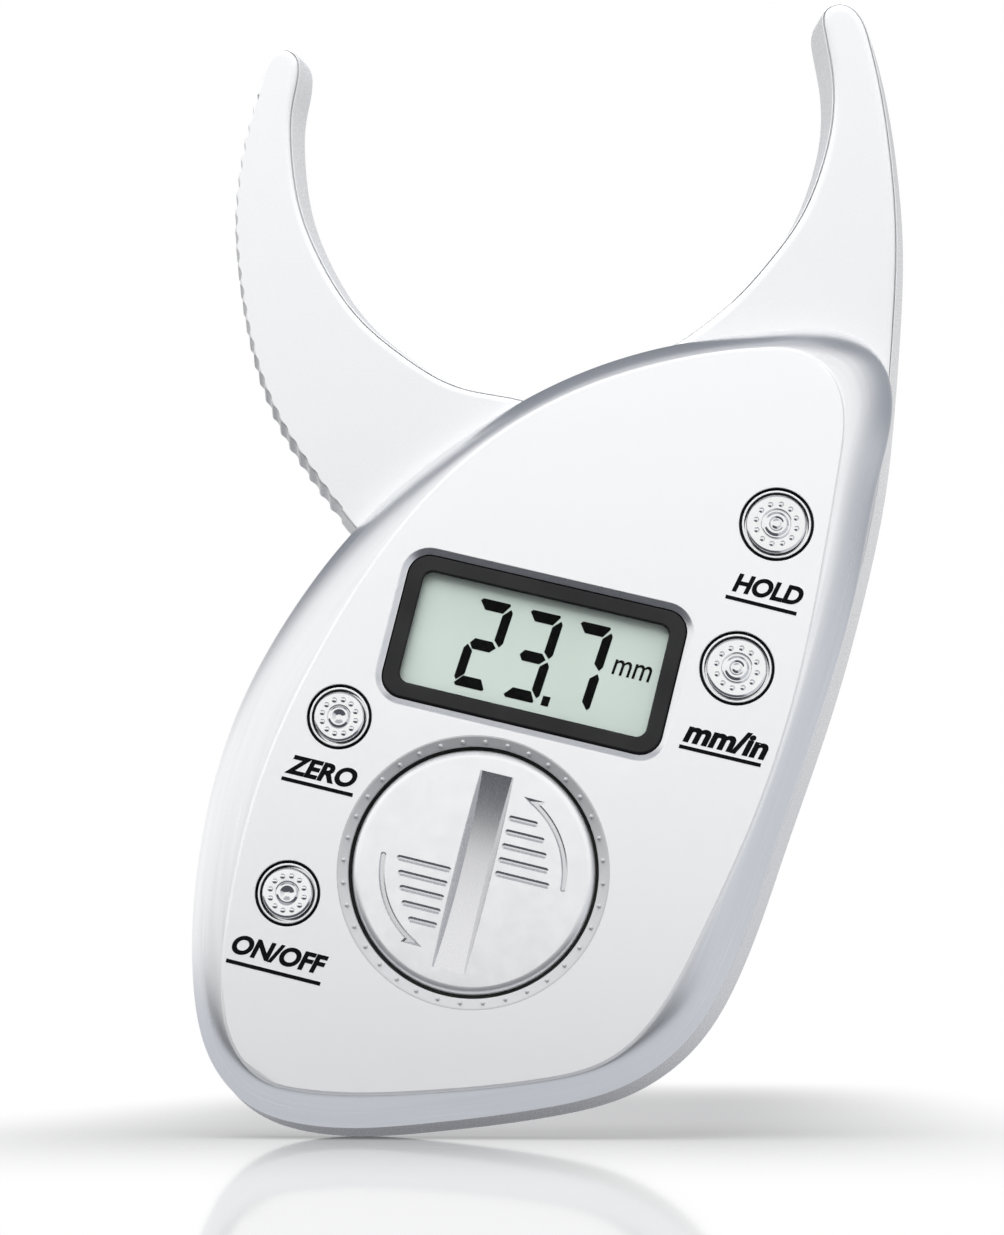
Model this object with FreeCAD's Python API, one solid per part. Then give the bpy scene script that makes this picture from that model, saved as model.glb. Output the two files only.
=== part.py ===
import FreeCAD, Part
import math
import os

from FreeCAD import Vector

# Digital skinfold caliper, in millimetres. Every piece is drawn lying on its back: x runs to the right
# along the display, y up along the display, z from the flat back face towards the user, and the jaw
# pivot is at x = y = 0. stand_up() then turns each piece so that +Z is up, the front faces -Y and the
# caliper leans to the right as it does when it stands on its bottom edge.

LEAN = 14.0  # degrees

# Housing
FLOOR = 2.0  # thickness of the back shell's floor
WALL = 2.0  # side wall at the parting plane
SKIN = 1.0  # rim of the back shell in front of the moving jaw
COVER_HEIGHT = 7.2  # front cover, from the parting plane to its flat front
COVER_WALL = 1.8
RIM_HEIGHT = 0.6  # upright edge of the front cover
DRAFT = 9.0  # degrees that the sides of the shell and the jaws flare towards the back
BACK_EDGE = 1.8  # radius round the back face
FRONT_EDGE = 0.5  # radius where the side meets the parting plane
LIP = 1.2  # thickness of the locating lip inside the side wall
SNUG = 0.15  # gap between pieces that locate in each other
RUNNING = 0.08  # radial gap between pieces that turn or slide in each other
CLEAR = 0.4  # gap between the jaw and the faces it moves past

# Outline of the housing at the parting plane, anticlockwise from the upper left
HOUSING_SIDE = [
    (-20.0, 57.3), (-34.1, 43.8), (-46.0, 27.6), (-53.6, 10.6), (-57.6, -4.8), (-58.7, -20.0),
    (-57.2, -36.0), (-53.3, -51.0), (-47.3, -61.4), (-40.0, -66.0), (-31.6, -66.7), (-12.5, -61.8),
    (5.0, -54.9), (16.0, -48.6), (23.6, -39.4), (27.6, -26.5), (30.0, -6.0), (32.2, 16.0),
    (33.0, 36.0), (32.5, 54.0),
]
COVER_TOP = [(30.6, 69.0), (26.6, 73.4), (20.6, 74.8), (10.8, 72.5), (-5.3, 66.3)]

# Inner edge of the cover's bevel, one point for each point of the cover's outline
PANEL = [
    (-17.7, 53.9), (-30.6, 40.8), (-39.9, 24.3), (-45.6, 7.6), (-48.8, -6.2), (-50.4, -20.4),
    (-50.0, -35.0), (-47.5, -49.8), (-43.6, -57.4), (-38.6, -60.8), (-32.2, -61.1), (-14.2, -56.9),
    (3.2, -50.7), (12.4, -45.4), (18.2, -36.4), (21.6, -24.2), (25.2, -6.0), (27.2, 15.8),
    (26.8, 35.6), (25.8, 52.2), (24.2, 61.8), (21.2, 66.4), (16.4, 68.5), (9.6, 67.6), (-4.0, 62.3),
]
BEVEL_PROFILE = [(0.2, 0.5), (0.55, 0.84), (1.0, 1.0)]  # shares of the bevel's width and height

# Fixed jaw, which continues the back shell: outer edge, tip, inner edge
FIXED_JAW = [
    (31.0, 66.5), (29.1, 79.0), (26.4, 93.0), (22.7, 105.5), (18.4, 116.8), (14.8, 124.4), (12.0, 128.3),
    (9.0, 129.3), (6.7, 127.6), (7.2, 124.6), (10.1, 117.6), (11.9, 110.0), (12.1, 102.0), (10.6, 92.4),
    (7.4, 84.4), (3.3, 76.8), (-0.8, 71.3), (-5.4, 66.6), (-12.5, 62.4),
]

# Moving jaw: inner edge from the hub to the tip, tip, outer edge back to the hub
MOVING_JAW = [
    (3.0, 8.0), (-3.0, 32.0), (-12.0, 47.5), (-25.2, 53.4), (-36.8, 53.3), (-46.6, 56.2), (-55.6, 60.9),
    (-63.7, 68.3), (-69.9, 76.9), (-73.7, 86.0), (-75.5, 93.5), (-76.0, 99.4), (-77.2, 102.1),
    (-79.2, 102.8), (-81.0, 101.2), (-81.7, 97.0), (-81.9, 91.2), (-81.6, 83.0), (-80.1, 73.4),
    (-76.8, 63.5), (-72.2, 53.4), (-65.4, 43.0), (-56.5, 34.2), (-47.5, 26.9), (-34.0, 16.4), (-14.0, 0.0),
]
JAW_THICKNESS = 8.2
JAW_EDGE = 0.8
CLOSING = 38.8  # degrees that the moving jaw turns from fully open to tip on tip
SLOT_OPEN = 152.4  # direction from the pivot of the end of the slot that stops the open jaw
SLOT_BESIDE = 124.8  # direction of the far side of the open jaw's root, which the slot leaves free
SLOT_REACH = 78.0  # radius of the pocket that the jaw turns into at the root of the fixed jaw
SERRATION_FROM = (-81.75, 93.5)
SERRATION_TO = (-51.5, 30.0)
SERRATION_PITCH = 2.9
SERRATION_RADIUS = 1.9
SERRATION_DEPTH = 0.5

# Pivot, return spring and angle sensor
HUB_RADIUS = 17.0
JOURNAL_RADIUS = 3.0
BUSH_WALL = 1.4
PIVOT_SCREW_RADIUS = 1.25
PIVOT_HEAD_RADIUS = 2.6
PIVOT_HEAD_HEIGHT = 1.3
WASHER_RADIUS = 5.6
WASHER_THICKNESS = 0.5
SPRING_RADIUS = 6.8
SPRING_WIRE = 0.45  # radius of the wire
SPRING_PITCH = 1.1
SPRING_TURNS = 3
SPRING_LEG = 2.2
SENSOR_INNER = 8.7
SENSOR_OUTER = 16.0
SENSOR_THICKNESS = 0.5
SENSOR_STANDS_OUT = 0.2
STATOR_THICKNESS = 0.3
STATOR_ARC = (-15.0, 175.0)  # directions of the sensor's ends, clear of the battery compartment

# Circuit board
BOARD_LIFT = 0.7  # of the board above the rim in front of the jaw
BOARD_THICKNESS = 1.0
BOARD_INSET = 4.0
BOARD_GAP = 0.6  # between the board and the pieces that stand through it
BOARD_SCREWS = [(22.0, 50.0), (24.0, -1.0), (-18.0, 47.0), (-47.0, -17.5), (-44.0, -42.5)]
BOARD_SCREW_RADIUS = 0.9
BOARD_HEAD_RADIUS = 1.8
BOARD_HEAD_HEIGHT = 0.6
BOARD_BOSS_RADIUS = 2.2
BOARD_BOTTOM = -46.5  # y of the board's lower edge beside the battery
BOARD_RIGHT = -6.0  # y of the board's lower edge to the right of the battery
FAR = 200.0  # width of the cutters that trim the board, larger than the board
CHIP_RADIUS = 4.6  # the chip lies in the middle of the display's place
CHIP_HEIGHT = 1.2
CRYSTAL_AT = (-4.0, 42.0)
CRYSTAL_RADIUS = 1.5
CRYSTAL_LENGTH = 6.2
CAPACITORS = [(8.0, 34.0), (8.0, 38.0), (8.0, 46.0), (-14.0, 38.0), (-20.0, 34.0), (18.0, 30.0)]
CAPACITOR_SIZE = (2.0, 1.25, 0.9)

# Housing screws, driven from the back
HOUSING_SCREWS = [(25.3, 63.6), (24.6, -14.5), (8.0, -46.5), (-45.0, -55.0), (-49.6, 6.0)]
SCREW_RADIUS = 1.1
SCREW_HEAD_RADIUS = 2.2
SCREW_HEAD_HEIGHT = 1.5
SCREW_SUNK = 0.8  # depth of the head below the back face
SCREW_SHORT = 2.6  # how far behind the front of the cover the screws end
BOSS_RADIUS = 3.0
CROSS_WIDTH = 0.6
CROSS_LENGTH = 2.4
CROSS_DEPTH = 0.7

# Display
DISPLAY_AT = (-13.5, 12.5)
BEZEL_SIZE = (44.8, 23.0)
BEZEL_CORNER = 3.4
BEZEL_SUNK = 0.4  # below the front of the cover
BEZEL_FRAME = 2.55  # width of the black frame round the view
BEZEL_FLANGE = 0.8  # how far and how thick the flange behind the cover is
VIEW_CORNER = 1.6
GLASS_LAP = 0.9  # how far the window and the panel reach behind the frame
WINDOW_SUNK = 0.3  # below the front of the bezel
WINDOW_THICKNESS = 0.9
LCD_THICKNESS = 1.9
LCD_GAP = 0.2  # between the window and the panel
HOLDER_WALL = 1.2
STRIP_WIDTH = 1.6
RECESS_WIDTH = 1.1
RECESS_DEPTH = 0.5

# Battery compartment
BATTERY_AT = (-14.5, -22.7)
BORE_RADIUS = 19.55
TRAY_WALL = 1.15
TRAY_LIFT = 0.5  # of the tray above the rim in front of the jaw
TRAY_FLOOR = 0.9
COLLAR_WIDTH = 1.6  # from the bore to the collar's outer edge
COLLAR_HEIGHT = 1.0
DISH = 0.4  # how far the battery cover lies below the panel
DISC_GAP = 0.75  # between the battery cover and the bore, filled by the seal
DISC_THICKNESS = 2.2
DISC_EDGE = 1.0  # radius round the battery cover's face
STEP_WIDTH = 0.65  # ledge below the seal
SKIRT_GAP = 0.7  # between the skirt and the tray, where the grooves for the lugs run
SKIRT_WALL = 1.2
SKIRT_DEPTH = 1.4
LUG_GROOVE = (1.0, 0.35)  # how far the grooves reach inside and outside the tray's bore
GROOVE_DROP = 1.5  # from the ledge down to the grooves' floor
GROOVE_HEIGHT = 1.2
LUG_GAP = 0.3  # between a lug's end and its groove
LUG_HEIGHT = 0.8
LUG_ANGLE = 13.0
NOTCH_ANGLE = 17.0
LUGS = 3
UNLOCK = 60.0  # degrees from locked to lift-off
SEAL_HEIGHT = 1.3
COIN_SLOT = (5.4, 31.2)
COIN_SLOT_DEPTH = 1.5  # in the middle; the floor is an arc along the slot
COIN_SLOT_END = 0.3  # depth at the ends
COIN_SLOT_SLOPE = 0.8  # how far each long side leans in at the deepest place
GRIP_LENGTHS = (4.4, 6.0, 6.9, 7.7, 8.4)  # grooves beside the coin slot, from the outermost
GRIP_START = 3.5
GRIP_TOP = 9.4
GRIP_PITCH = 2.2
GRIP_WIDTH = 0.7
GRIP_DEPTH = 0.25
DOTS = 36
DOT_RADIUS = 0.3
DOT_OUT = 0.5  # from the bore to the dots
CELL_RADIUS = 10.0
CELL_CAN_STEP = (9.0, 0.3)  # radius and height of the negative face
CELL_HEIGHT = 3.2
CELL_PLAY = 0.3  # between the cell and the battery cover
POCKET_WALL = 1.0
POCKET_HEIGHT = 2.6
CONTACT_WIDTH = 3.0
CONTACT_THICKNESS = 0.25
CONTACT_OFFSET = 5.0  # each contact's tail lies this far from the compartment's middle
TAIL_OUT = 2.7  # how far the contacts' tails reach past the tray, over the board
LEAF_HEIGHT = 2.6  # of the positive contact, up the side of the cell
GATE_DEPTH = 4.0  # gap in the cell pocket's wall that the leaf stands in

# Buttons: name, centre, radius of the cap
BUTTONS = [
    ("hold", (18.6, 41.0), 4.7),
    ("units", (17.8, 17.5), 4.7),
    ("zero", (-40.75, -4.25), 4.0),
    ("power", (-41.7, -32.8), 4.0),
]
CAP_STANDS_OUT = 0.3
CAP_EDGE = 0.5
CAP_FLANGE = 0.9
CAP_FLANGE_THICKNESS = 0.6
CAP_GAP = 0.25
BUTTON_GROOVE = (0.65, 1.0)  # inner and outer edge of the groove round each cap, from the cap's side
NUBS = 12
NUB_RADIUS = 0.42
NUB_HEIGHT = 0.25
NUB_CIRCLE = 0.68  # share of the cap's radius
SWITCH_SIZE = 6.0
SWITCH_HEIGHT = 2.8
PLUNGER_RADIUS = 1.7
PLUNGER_SEAT = 1.7  # how deep the plunger stands in its switch
BUTTON_TRAVEL = 0.5

# Heights worked out from the sizes above
JAW_Z = FLOOR + CLEAR
JAW_TOP = JAW_Z + JAW_THICKNESS
SKIN_Z = JAW_TOP + CLEAR
PART_Z = SKIN_Z + SKIN  # plane where the back shell and the front cover meet
PANEL_Z = PART_Z + COVER_HEIGHT
COVER_INSIDE = PANEL_Z - COVER_WALL
JOURNAL_TOP = JAW_TOP + SNUG
BOARD_Z = SKIN_Z + BOARD_LIFT
BOARD_TOP = BOARD_Z + BOARD_THICKNESS
SCREW_END_Z = PANEL_Z - SCREW_SHORT
BEZEL_TOP = PANEL_Z - BEZEL_SUNK
WINDOW_Z = BEZEL_TOP - WINDOW_SUNK - WINDOW_THICKNESS
LCD_Z = WINDOW_Z - LCD_GAP - LCD_THICKNESS
TRAY_FLOOR_Z = SKIN_Z + TRAY_LIFT
COLLAR_Z = PANEL_Z - COLLAR_HEIGHT
COVER_FACE = PANEL_Z - DISH
STEP_Z = COVER_FACE - DISC_THICKNESS
SKIRT_Z = STEP_Z - SKIRT_DEPTH
GROOVE_Z = STEP_Z - GROOVE_DROP
CELL_Z = STEP_Z - CELL_PLAY - CELL_HEIGHT
CAP_TOP = PANEL_Z + CAP_STANDS_OUT
CAP_FLANGE_Z = COVER_INSIDE - CAP_FLANGE_THICKNESS - CLEAR
PLUNGER_Z = BOARD_TOP + SWITCH_HEIGHT - PLUNGER_SEAT

# Widths and directions worked out from the sizes above
SLOT_CLOSED = SLOT_BESIDE - CLOSING  # direction of the slot's other end, inside the root of the fixed jaw
BUSH_RADIUS = JOURNAL_RADIUS + RUNNING + BUSH_WALL
LCD_VIEW = (BEZEL_SIZE[0] - 2 * BEZEL_FRAME, BEZEL_SIZE[1] - 2 * BEZEL_FRAME)
GLASS_SIZE = (LCD_VIEW[0] + 2 * GLASS_LAP, LCD_VIEW[1] + 2 * GLASS_LAP)
TRAY_RADIUS = BORE_RADIUS + TRAY_WALL
COLLAR_RADIUS = BORE_RADIUS + COLLAR_WIDTH
DISC_RADIUS = BORE_RADIUS - DISC_GAP
STEP_RADIUS = BORE_RADIUS - STEP_WIDTH
SKIRT_OUTER = STEP_RADIUS - SKIRT_GAP
LUG_INSIDE = STEP_RADIUS - LUG_GROOVE[0]
GROOVE_RADIUS = BORE_RADIUS + LUG_GROOVE[1]
LUG_REACH = GROOVE_RADIUS - LUG_GAP
TAIL_REACH = TRAY_RADIUS + TAIL_OUT


def spline(points):
    """Closed smooth curve through (x, y) points."""
    curve = Part.BSplineCurve()
    curve.interpolate(Points=[Vector(x, y, 0) for x, y in points], PeriodicFlag=True)
    return curve


def inset(points, width):
    """The points of an anticlockwise outline, each moved inwards."""
    curve = spline(points)
    moved = []
    for x, y in points:
        tangent = curve.tangent(curve.parameter(Vector(x, y, 0)))[0]
        moved.append((x - tangent.y * width, y + tangent.x * width))
    return moved


def stack(levels):
    """Solid through closed outlines, each given as (z, points)."""
    wires = []
    for z, points in levels:
        edge = spline(points).toShape()
        edge.translate(Vector(0, 0, z))
        wires.append(Part.Wire([edge]))
    return Part.makeLoft(wires, True, True)


def plate(points, z0, z1):
    """Upright slice of one outline."""
    edge = spline(points).toShape()
    edge.translate(Vector(0, 0, z0))
    return Part.Face(Part.Wire([edge])).extrude(Vector(0, 0, z1 - z0))


def flare(z, top):
    """How far a drafted side stands out at height z."""
    return (top - z) * math.tan(math.radians(DRAFT))


def slab(points, bottom, top, bottom_edge, top_edge):
    """Plate with drafted sides, wider at the bottom, and rounded edges."""
    levels = []
    for radius, z, up in ((bottom_edge, bottom, 1), (top_edge, top, -1)):
        for angle in (0, 30, 60, 90)[::up]:
            rise = z + up * radius * (1 - math.cos(math.radians(angle)))
            back = radius * (1 - math.sin(math.radians(angle)))
            levels.append((rise, inset(points, back - flare(rise, top))))
    return stack(levels)


def disc(at, radius, z0, z1):
    return Part.makeCylinder(radius, z1 - z0, Vector(at[0], at[1], z0))


def ring(at, inner, outer, z0, z1):
    return disc(at, outer, z0, z1).cut(disc(at, inner, z0 - 1, z1 + 1))


def cone(at, r0, r1, z0, z1):
    return Part.makeCone(r0, r1, z1 - z0, Vector(at[0], at[1], z0))


def block(at, size, z0, z1):
    """Upright box centred on a point."""
    corner = Vector(at[0] - size[0] / 2, at[1] - size[1] / 2, z0)
    return Part.makeBox(size[0], size[1], z1 - z0, corner)


def rounded_block(at, size, corner, z0, z1):
    solid = block(at, size, z0, z1)
    upright = [e for e in solid.Edges if abs(e.Vertexes[0].Z - e.Vertexes[-1].Z) > (z1 - z0) / 2]
    return solid.makeFillet(corner, upright)


def grown(size, width):
    return (size[0] + 2 * width, size[1] + 2 * width)


def sector(at, inner, outer, start, end, z0, z1):
    """Part of a ring between two directions in degrees."""
    solid = Part.makeCylinder(outer, z1 - z0, Vector(at[0], at[1], z0), Vector(0, 0, 1), end - start)
    solid.rotate(Vector(at[0], at[1], 0), Vector(0, 0, 1), start)
    return solid.cut(disc(at, inner, z0 - 1, z1 + 1))


def polar(at, radius, degrees):
    angle = math.radians(degrees)
    return (at[0] + radius * math.cos(angle), at[1] + radius * math.sin(angle))


def rim():
    """Outline of the front cover."""
    return HOUSING_SIDE + COVER_TOP


def cavity():
    """Inside of the back shell, from the floor to the parting plane, without the screw bosses."""
    low = inset(rim(), WALL - flare(FLOOR, PART_Z))
    high = inset(rim(), WALL)
    space = stack([(FLOOR, low), (PART_Z + 1, high)])
    for at in HOUSING_SCREWS:
        space = space.cut(disc(at, BOSS_RADIUS, 0, PART_Z))
    return space


def jaw_slot():
    """Space that the moving jaw sweeps through the side wall and the root of the fixed jaw."""
    return sector((0, 0), HUB_RADIUS, SLOT_REACH, SLOT_CLOSED, SLOT_OPEN, FLOOR, SKIN_Z)


def back_shell():
    outline = HOUSING_SIDE + FIXED_JAW
    shell = slab(outline, 0, PART_Z, BACK_EDGE, FRONT_EDGE)
    shell = shell.cut(cavity())
    shell = shell.cut(jaw_slot())
    thrust_boss = disc((0, 0), JOURNAL_RADIUS + BUSH_WALL, FLOOR, JAW_Z - SNUG)
    journal = disc((0, 0), JOURNAL_RADIUS, FLOOR, JOURNAL_TOP)
    shell = shell.fuse(thrust_boss).fuse(journal)
    head_z = SCREW_SUNK + SCREW_HEAD_HEIGHT
    for at in HOUSING_SCREWS:
        shell = shell.cut(disc(at, SCREW_HEAD_RADIUS + SNUG, -1, head_z))
        shell = shell.cut(disc(at, SCREW_RADIUS + SNUG, 0, PART_Z + 1))
    shell = shell.cut(disc((0, 0), PIVOT_SCREW_RADIUS, FLOOR, JOURNAL_TOP + 1))
    shell = shell.cut(disc((SPRING_RADIUS, 0), SPRING_WIRE + SNUG, FLOOR / 2, JAW_Z))
    return shell


def between(first, second, share):
    """Outline part of the way from one outline to another."""
    pairs = zip(first, second)
    return [(a[0] + (b[0] - a[0]) * share, a[1] + (b[1] - a[1]) * share) for a, b in pairs]


def cover_skin(depth):
    """Outer form of the front cover, or its inside when depth is the wall's thickness."""
    low = inset(rim(), WALL if depth else 0)
    high = inset(PANEL, depth / 2)
    edge = PART_Z + RIM_HEIGHT
    levels = [(PART_Z - (1 if depth else 0), low), (edge, low)]
    for inwards, upwards in BEVEL_PROFILE:
        z = edge + upwards * (PANEL_Z - depth - edge)
        levels.append((z, between(low, high, inwards)))
    return stack(levels)


def lip():
    """Rib inside the side wall that locates the cover in the back shell."""
    inner = inset(rim(), WALL + SNUG + LIP)
    solid = plate(inset(rim(), WALL + SNUG), SKIN_Z + SNUG, PART_Z)
    solid = solid.fuse(plate(inset(rim(), WALL - SNUG), PART_Z, PART_Z + RIM_HEIGHT))
    solid = solid.cut(plate(inner, 0, PANEL_Z))
    for at in HOUSING_SCREWS:
        solid = solid.cut(disc(at, BOSS_RADIUS + SNUG, 0, PART_Z))
    return solid


def cover_space():
    """Inside of the front cover, without the bosses that hang from it."""
    space = cover_skin(COVER_WALL)
    for at in HOUSING_SCREWS:
        space = space.cut(disc(at, BOSS_RADIUS, PART_Z, PANEL_Z))
    for at in BOARD_SCREWS:
        space = space.cut(disc(at, BOARD_BOSS_RADIUS, BOARD_TOP, PANEL_Z))
    return space


def front_cover():
    solid = cover_skin(0).cut(cover_space())
    solid = solid.fuse(lip())
    for at in HOUSING_SCREWS:
        solid = solid.cut(disc(at, SCREW_RADIUS, PART_Z - 1, SCREW_END_Z))
    for at in BOARD_SCREWS:
        solid = solid.cut(disc(at, BOARD_SCREW_RADIUS, PART_Z, SCREW_END_Z))
    for name, at, radius in BUTTONS:
        solid = solid.cut(disc(at, radius + CAP_GAP, PART_Z, PANEL_Z + 1))
        inner, outer = radius + BUTTON_GROOVE[0], radius + BUTTON_GROOVE[1]
        solid = solid.cut(ring(at, inner, outer, PANEL_Z - RECESS_DEPTH, PANEL_Z + 1))
    opening = grown(BEZEL_SIZE, SNUG)
    solid = solid.cut(rounded_block(DISPLAY_AT, opening, BEZEL_CORNER + SNUG, PART_Z, PANEL_Z + 1))
    recess, corner = grown(BEZEL_SIZE, RECESS_WIDTH), BEZEL_CORNER + RECESS_WIDTH
    solid = solid.cut(rounded_block(DISPLAY_AT, recess, corner, PANEL_Z - RECESS_DEPTH, PANEL_Z + 1))
    solid = solid.cut(disc(BATTERY_AT, TRAY_RADIUS + SNUG, PART_Z - 1, PANEL_Z + 1))
    solid = solid.cut(disc(BATTERY_AT, COLLAR_RADIUS + SNUG, COLLAR_Z, PANEL_Z + 1))
    return solid


def display_bezel():
    solid = rounded_block(DISPLAY_AT, BEZEL_SIZE, BEZEL_CORNER, COVER_INSIDE - BEZEL_FLANGE, BEZEL_TOP)
    flange = grown(BEZEL_SIZE, BEZEL_FLANGE)
    solid = solid.fuse(
        rounded_block(DISPLAY_AT, flange, BEZEL_CORNER, COVER_INSIDE - BEZEL_FLANGE, COVER_INSIDE)
    )
    rebate = grown(GLASS_SIZE, SNUG)
    solid = solid.cut(block(DISPLAY_AT, rebate, PART_Z, WINDOW_Z + WINDOW_THICKNESS))
    return solid.cut(rounded_block(DISPLAY_AT, LCD_VIEW, VIEW_CORNER, PART_Z, PANEL_Z))


def display_window():
    return block(DISPLAY_AT, GLASS_SIZE, WINDOW_Z, WINDOW_Z + WINDOW_THICKNESS)


def lcd_panel():
    return block(DISPLAY_AT, GLASS_SIZE, LCD_Z, LCD_Z + LCD_THICKNESS)


def lcd_holder():
    outer = grown(GLASS_SIZE, HOLDER_WALL)
    top = COVER_INSIDE - BEZEL_FLANGE
    solid = rounded_block(DISPLAY_AT, outer, HOLDER_WALL, BOARD_TOP, top)
    return solid.cut(block(DISPLAY_AT, grown(GLASS_SIZE, SNUG / 2), BOARD_TOP - 1, top + 1))


def lcd_connector_strips():
    reach = (GLASS_SIZE[1] - STRIP_WIDTH) / 2
    size = (GLASS_SIZE[0] - 2 * STRIP_WIDTH, STRIP_WIDTH)
    strips = []
    for side in (-1, 1):
        at = (DISPLAY_AT[0], DISPLAY_AT[1] + side * reach)
        strips.append(block(at, size, BOARD_TOP, LCD_Z))
    return Part.makeCompound(strips)


def circuit_board():
    outline = inset(rim(), BOARD_INSET)
    board = plate(outline, BOARD_Z, BOARD_TOP)
    board = board.cut(block((0, BOARD_BOTTOM - FAR / 2), (FAR, FAR), 0, PANEL_Z))
    right = (BATTERY_AT[0] + FAR / 2, BOARD_RIGHT - FAR / 2)
    board = board.cut(block(right, (FAR, FAR), 0, PANEL_Z))
    board = board.cut(disc(BATTERY_AT, TRAY_RADIUS + BOARD_GAP, 0, PANEL_Z))
    board = board.cut(disc((0, 0), PIVOT_HEAD_RADIUS + BOARD_GAP, 0, PANEL_Z))
    for at in HOUSING_SCREWS:
        board = board.cut(disc(at, BOSS_RADIUS + BOARD_GAP, 0, PANEL_Z))
    for at in BOARD_SCREWS:
        board = board.cut(disc(at, BOARD_SCREW_RADIUS + SNUG, 0, PANEL_Z))
    return board


def controller_chip():
    sphere_radius = (CHIP_RADIUS**2 + CHIP_HEIGHT**2) / (2 * CHIP_HEIGHT)
    centre = Vector(*DISPLAY_AT, BOARD_TOP + CHIP_HEIGHT - sphere_radius)
    dome = Part.makeSphere(sphere_radius, centre)
    return dome.common(disc(DISPLAY_AT, CHIP_RADIUS + 1, BOARD_TOP, BOARD_TOP + CHIP_HEIGHT + 1))


def board_components():
    start = Vector(CRYSTAL_AT[0] - CRYSTAL_LENGTH / 2, CRYSTAL_AT[1], BOARD_TOP + CRYSTAL_RADIUS)
    pieces = [Part.makeCylinder(CRYSTAL_RADIUS, CRYSTAL_LENGTH, start, Vector(1, 0, 0))]
    for at in CAPACITORS:
        pieces.append(block(at, CAPACITOR_SIZE[:2], BOARD_TOP, BOARD_TOP + CAPACITOR_SIZE[2]))
    return Part.makeCompound(pieces)


def tact_switches():
    bodies = []
    for name, at, radius in BUTTONS:
        body = block(at, (SWITCH_SIZE, SWITCH_SIZE), BOARD_TOP, BOARD_TOP + SWITCH_HEIGHT)
        floor = PLUNGER_Z - BUTTON_TRAVEL - SNUG
        bodies.append(body.cut(disc(at, PLUNGER_RADIUS + RUNNING, floor, PANEL_Z)))
    return Part.makeCompound(bodies)


def plunger(at):
    return disc(at, PLUNGER_RADIUS, PLUNGER_Z, CAP_FLANGE_Z)


def button(at, radius):
    cap = disc(at, radius, CAP_FLANGE_Z, CAP_TOP)
    cap = cap.makeFillet(CAP_EDGE, [e for e in cap.Edges if e.BoundBox.ZMin > PANEL_Z])
    flange = disc(at, radius + CAP_FLANGE, CAP_FLANGE_Z, CAP_FLANGE_Z + CAP_FLANGE_THICKNESS)
    cap = cap.fuse(flange)
    for number in range(NUBS):
        spot = polar(at, NUB_CIRCLE * radius, number * 360 / NUBS)
        cap = cap.fuse(Part.makeSphere(NUB_RADIUS, Vector(*spot, CAP_TOP + NUB_HEIGHT - NUB_RADIUS)))
    return cap


def encoder_stator():
    start, end = STATOR_ARC
    return sector((0, 0), SENSOR_INNER, SENSOR_OUTER, start, end, BOARD_Z - STATOR_THICKNESS, BOARD_Z)


def encoder_rotor():
    top = JAW_TOP + SENSOR_STANDS_OUT
    return ring((0, 0), SENSOR_INNER, SENSOR_OUTER, top - SENSOR_THICKNESS, top)


def serrations():
    """Round scallops across the outer edge of the moving jaw, one cutter for each."""
    curve = spline(MOVING_JAW)
    start = curve.parameter(Vector(*SERRATION_FROM, 0))
    end = curve.parameter(Vector(*SERRATION_TO, 0))
    stretch = Part.Edge(curve, start, end)
    count = int(stretch.Length / SERRATION_PITCH)
    out = SERRATION_RADIUS - SERRATION_DEPTH
    low, high = JAW_Z - 1, JAW_TOP + 1
    cutters = []
    for point in stretch.discretize(Number=count):
        tangent = curve.tangent(curve.parameter(point))[0]
        outwards = Vector(tangent.y, -tangent.x, 0)
        foot = point + outwards * (out + flare(low, JAW_TOP)) + Vector(0, 0, low)
        head = point + outwards * (out + flare(high, JAW_TOP)) + Vector(0, 0, high)
        cutters.append(Part.makeCylinder(SERRATION_RADIUS, (head - foot).Length, foot, head - foot))
    return cutters


def moving_jaw():
    solid = slab(MOVING_JAW, JAW_Z, JAW_TOP, JAW_EDGE, JAW_EDGE)
    solid = solid.cut(serrations())
    solid = solid.fuse(disc((0, 0), HUB_RADIUS, JAW_Z, JAW_TOP))
    solid = solid.cut(disc((0, 0), BUSH_RADIUS, 0, PANEL_Z))
    spring_space = 2 * SPRING_WIRE
    spring_top = JAW_Z + SPRING_WIRE + SPRING_TURNS * SPRING_PITCH + spring_space
    inner, outer = SPRING_RADIUS - spring_space, SPRING_RADIUS + spring_space
    solid = solid.cut(ring((0, 0), inner, outer, 0, spring_top))
    solid = solid.cut(disc((SPRING_RADIUS, 0), SPRING_WIRE + SNUG, JAW_Z, spring_top + SPRING_LEG))
    sensor_floor = JAW_TOP + SENSOR_STANDS_OUT - SENSOR_THICKNESS
    return solid.cut(ring((0, 0), SENSOR_INNER - SNUG, SENSOR_OUTER + SNUG, sensor_floor, PANEL_Z))


def pivot_bush():
    return ring((0, 0), JOURNAL_RADIUS + RUNNING, BUSH_RADIUS, JAW_Z, JAW_TOP)


def pivot_washer():
    return ring((0, 0), PIVOT_SCREW_RADIUS, WASHER_RADIUS, JOURNAL_TOP, JOURNAL_TOP + WASHER_THICKNESS)


def cross_slot(at, top):
    """Cutter for a cross recess that opens upwards at top."""
    length = block(at, (CROSS_LENGTH, CROSS_WIDTH), top - CROSS_DEPTH, top + 1)
    return length.fuse(block(at, (CROSS_WIDTH, CROSS_LENGTH), top - CROSS_DEPTH, top + 1))


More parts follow.
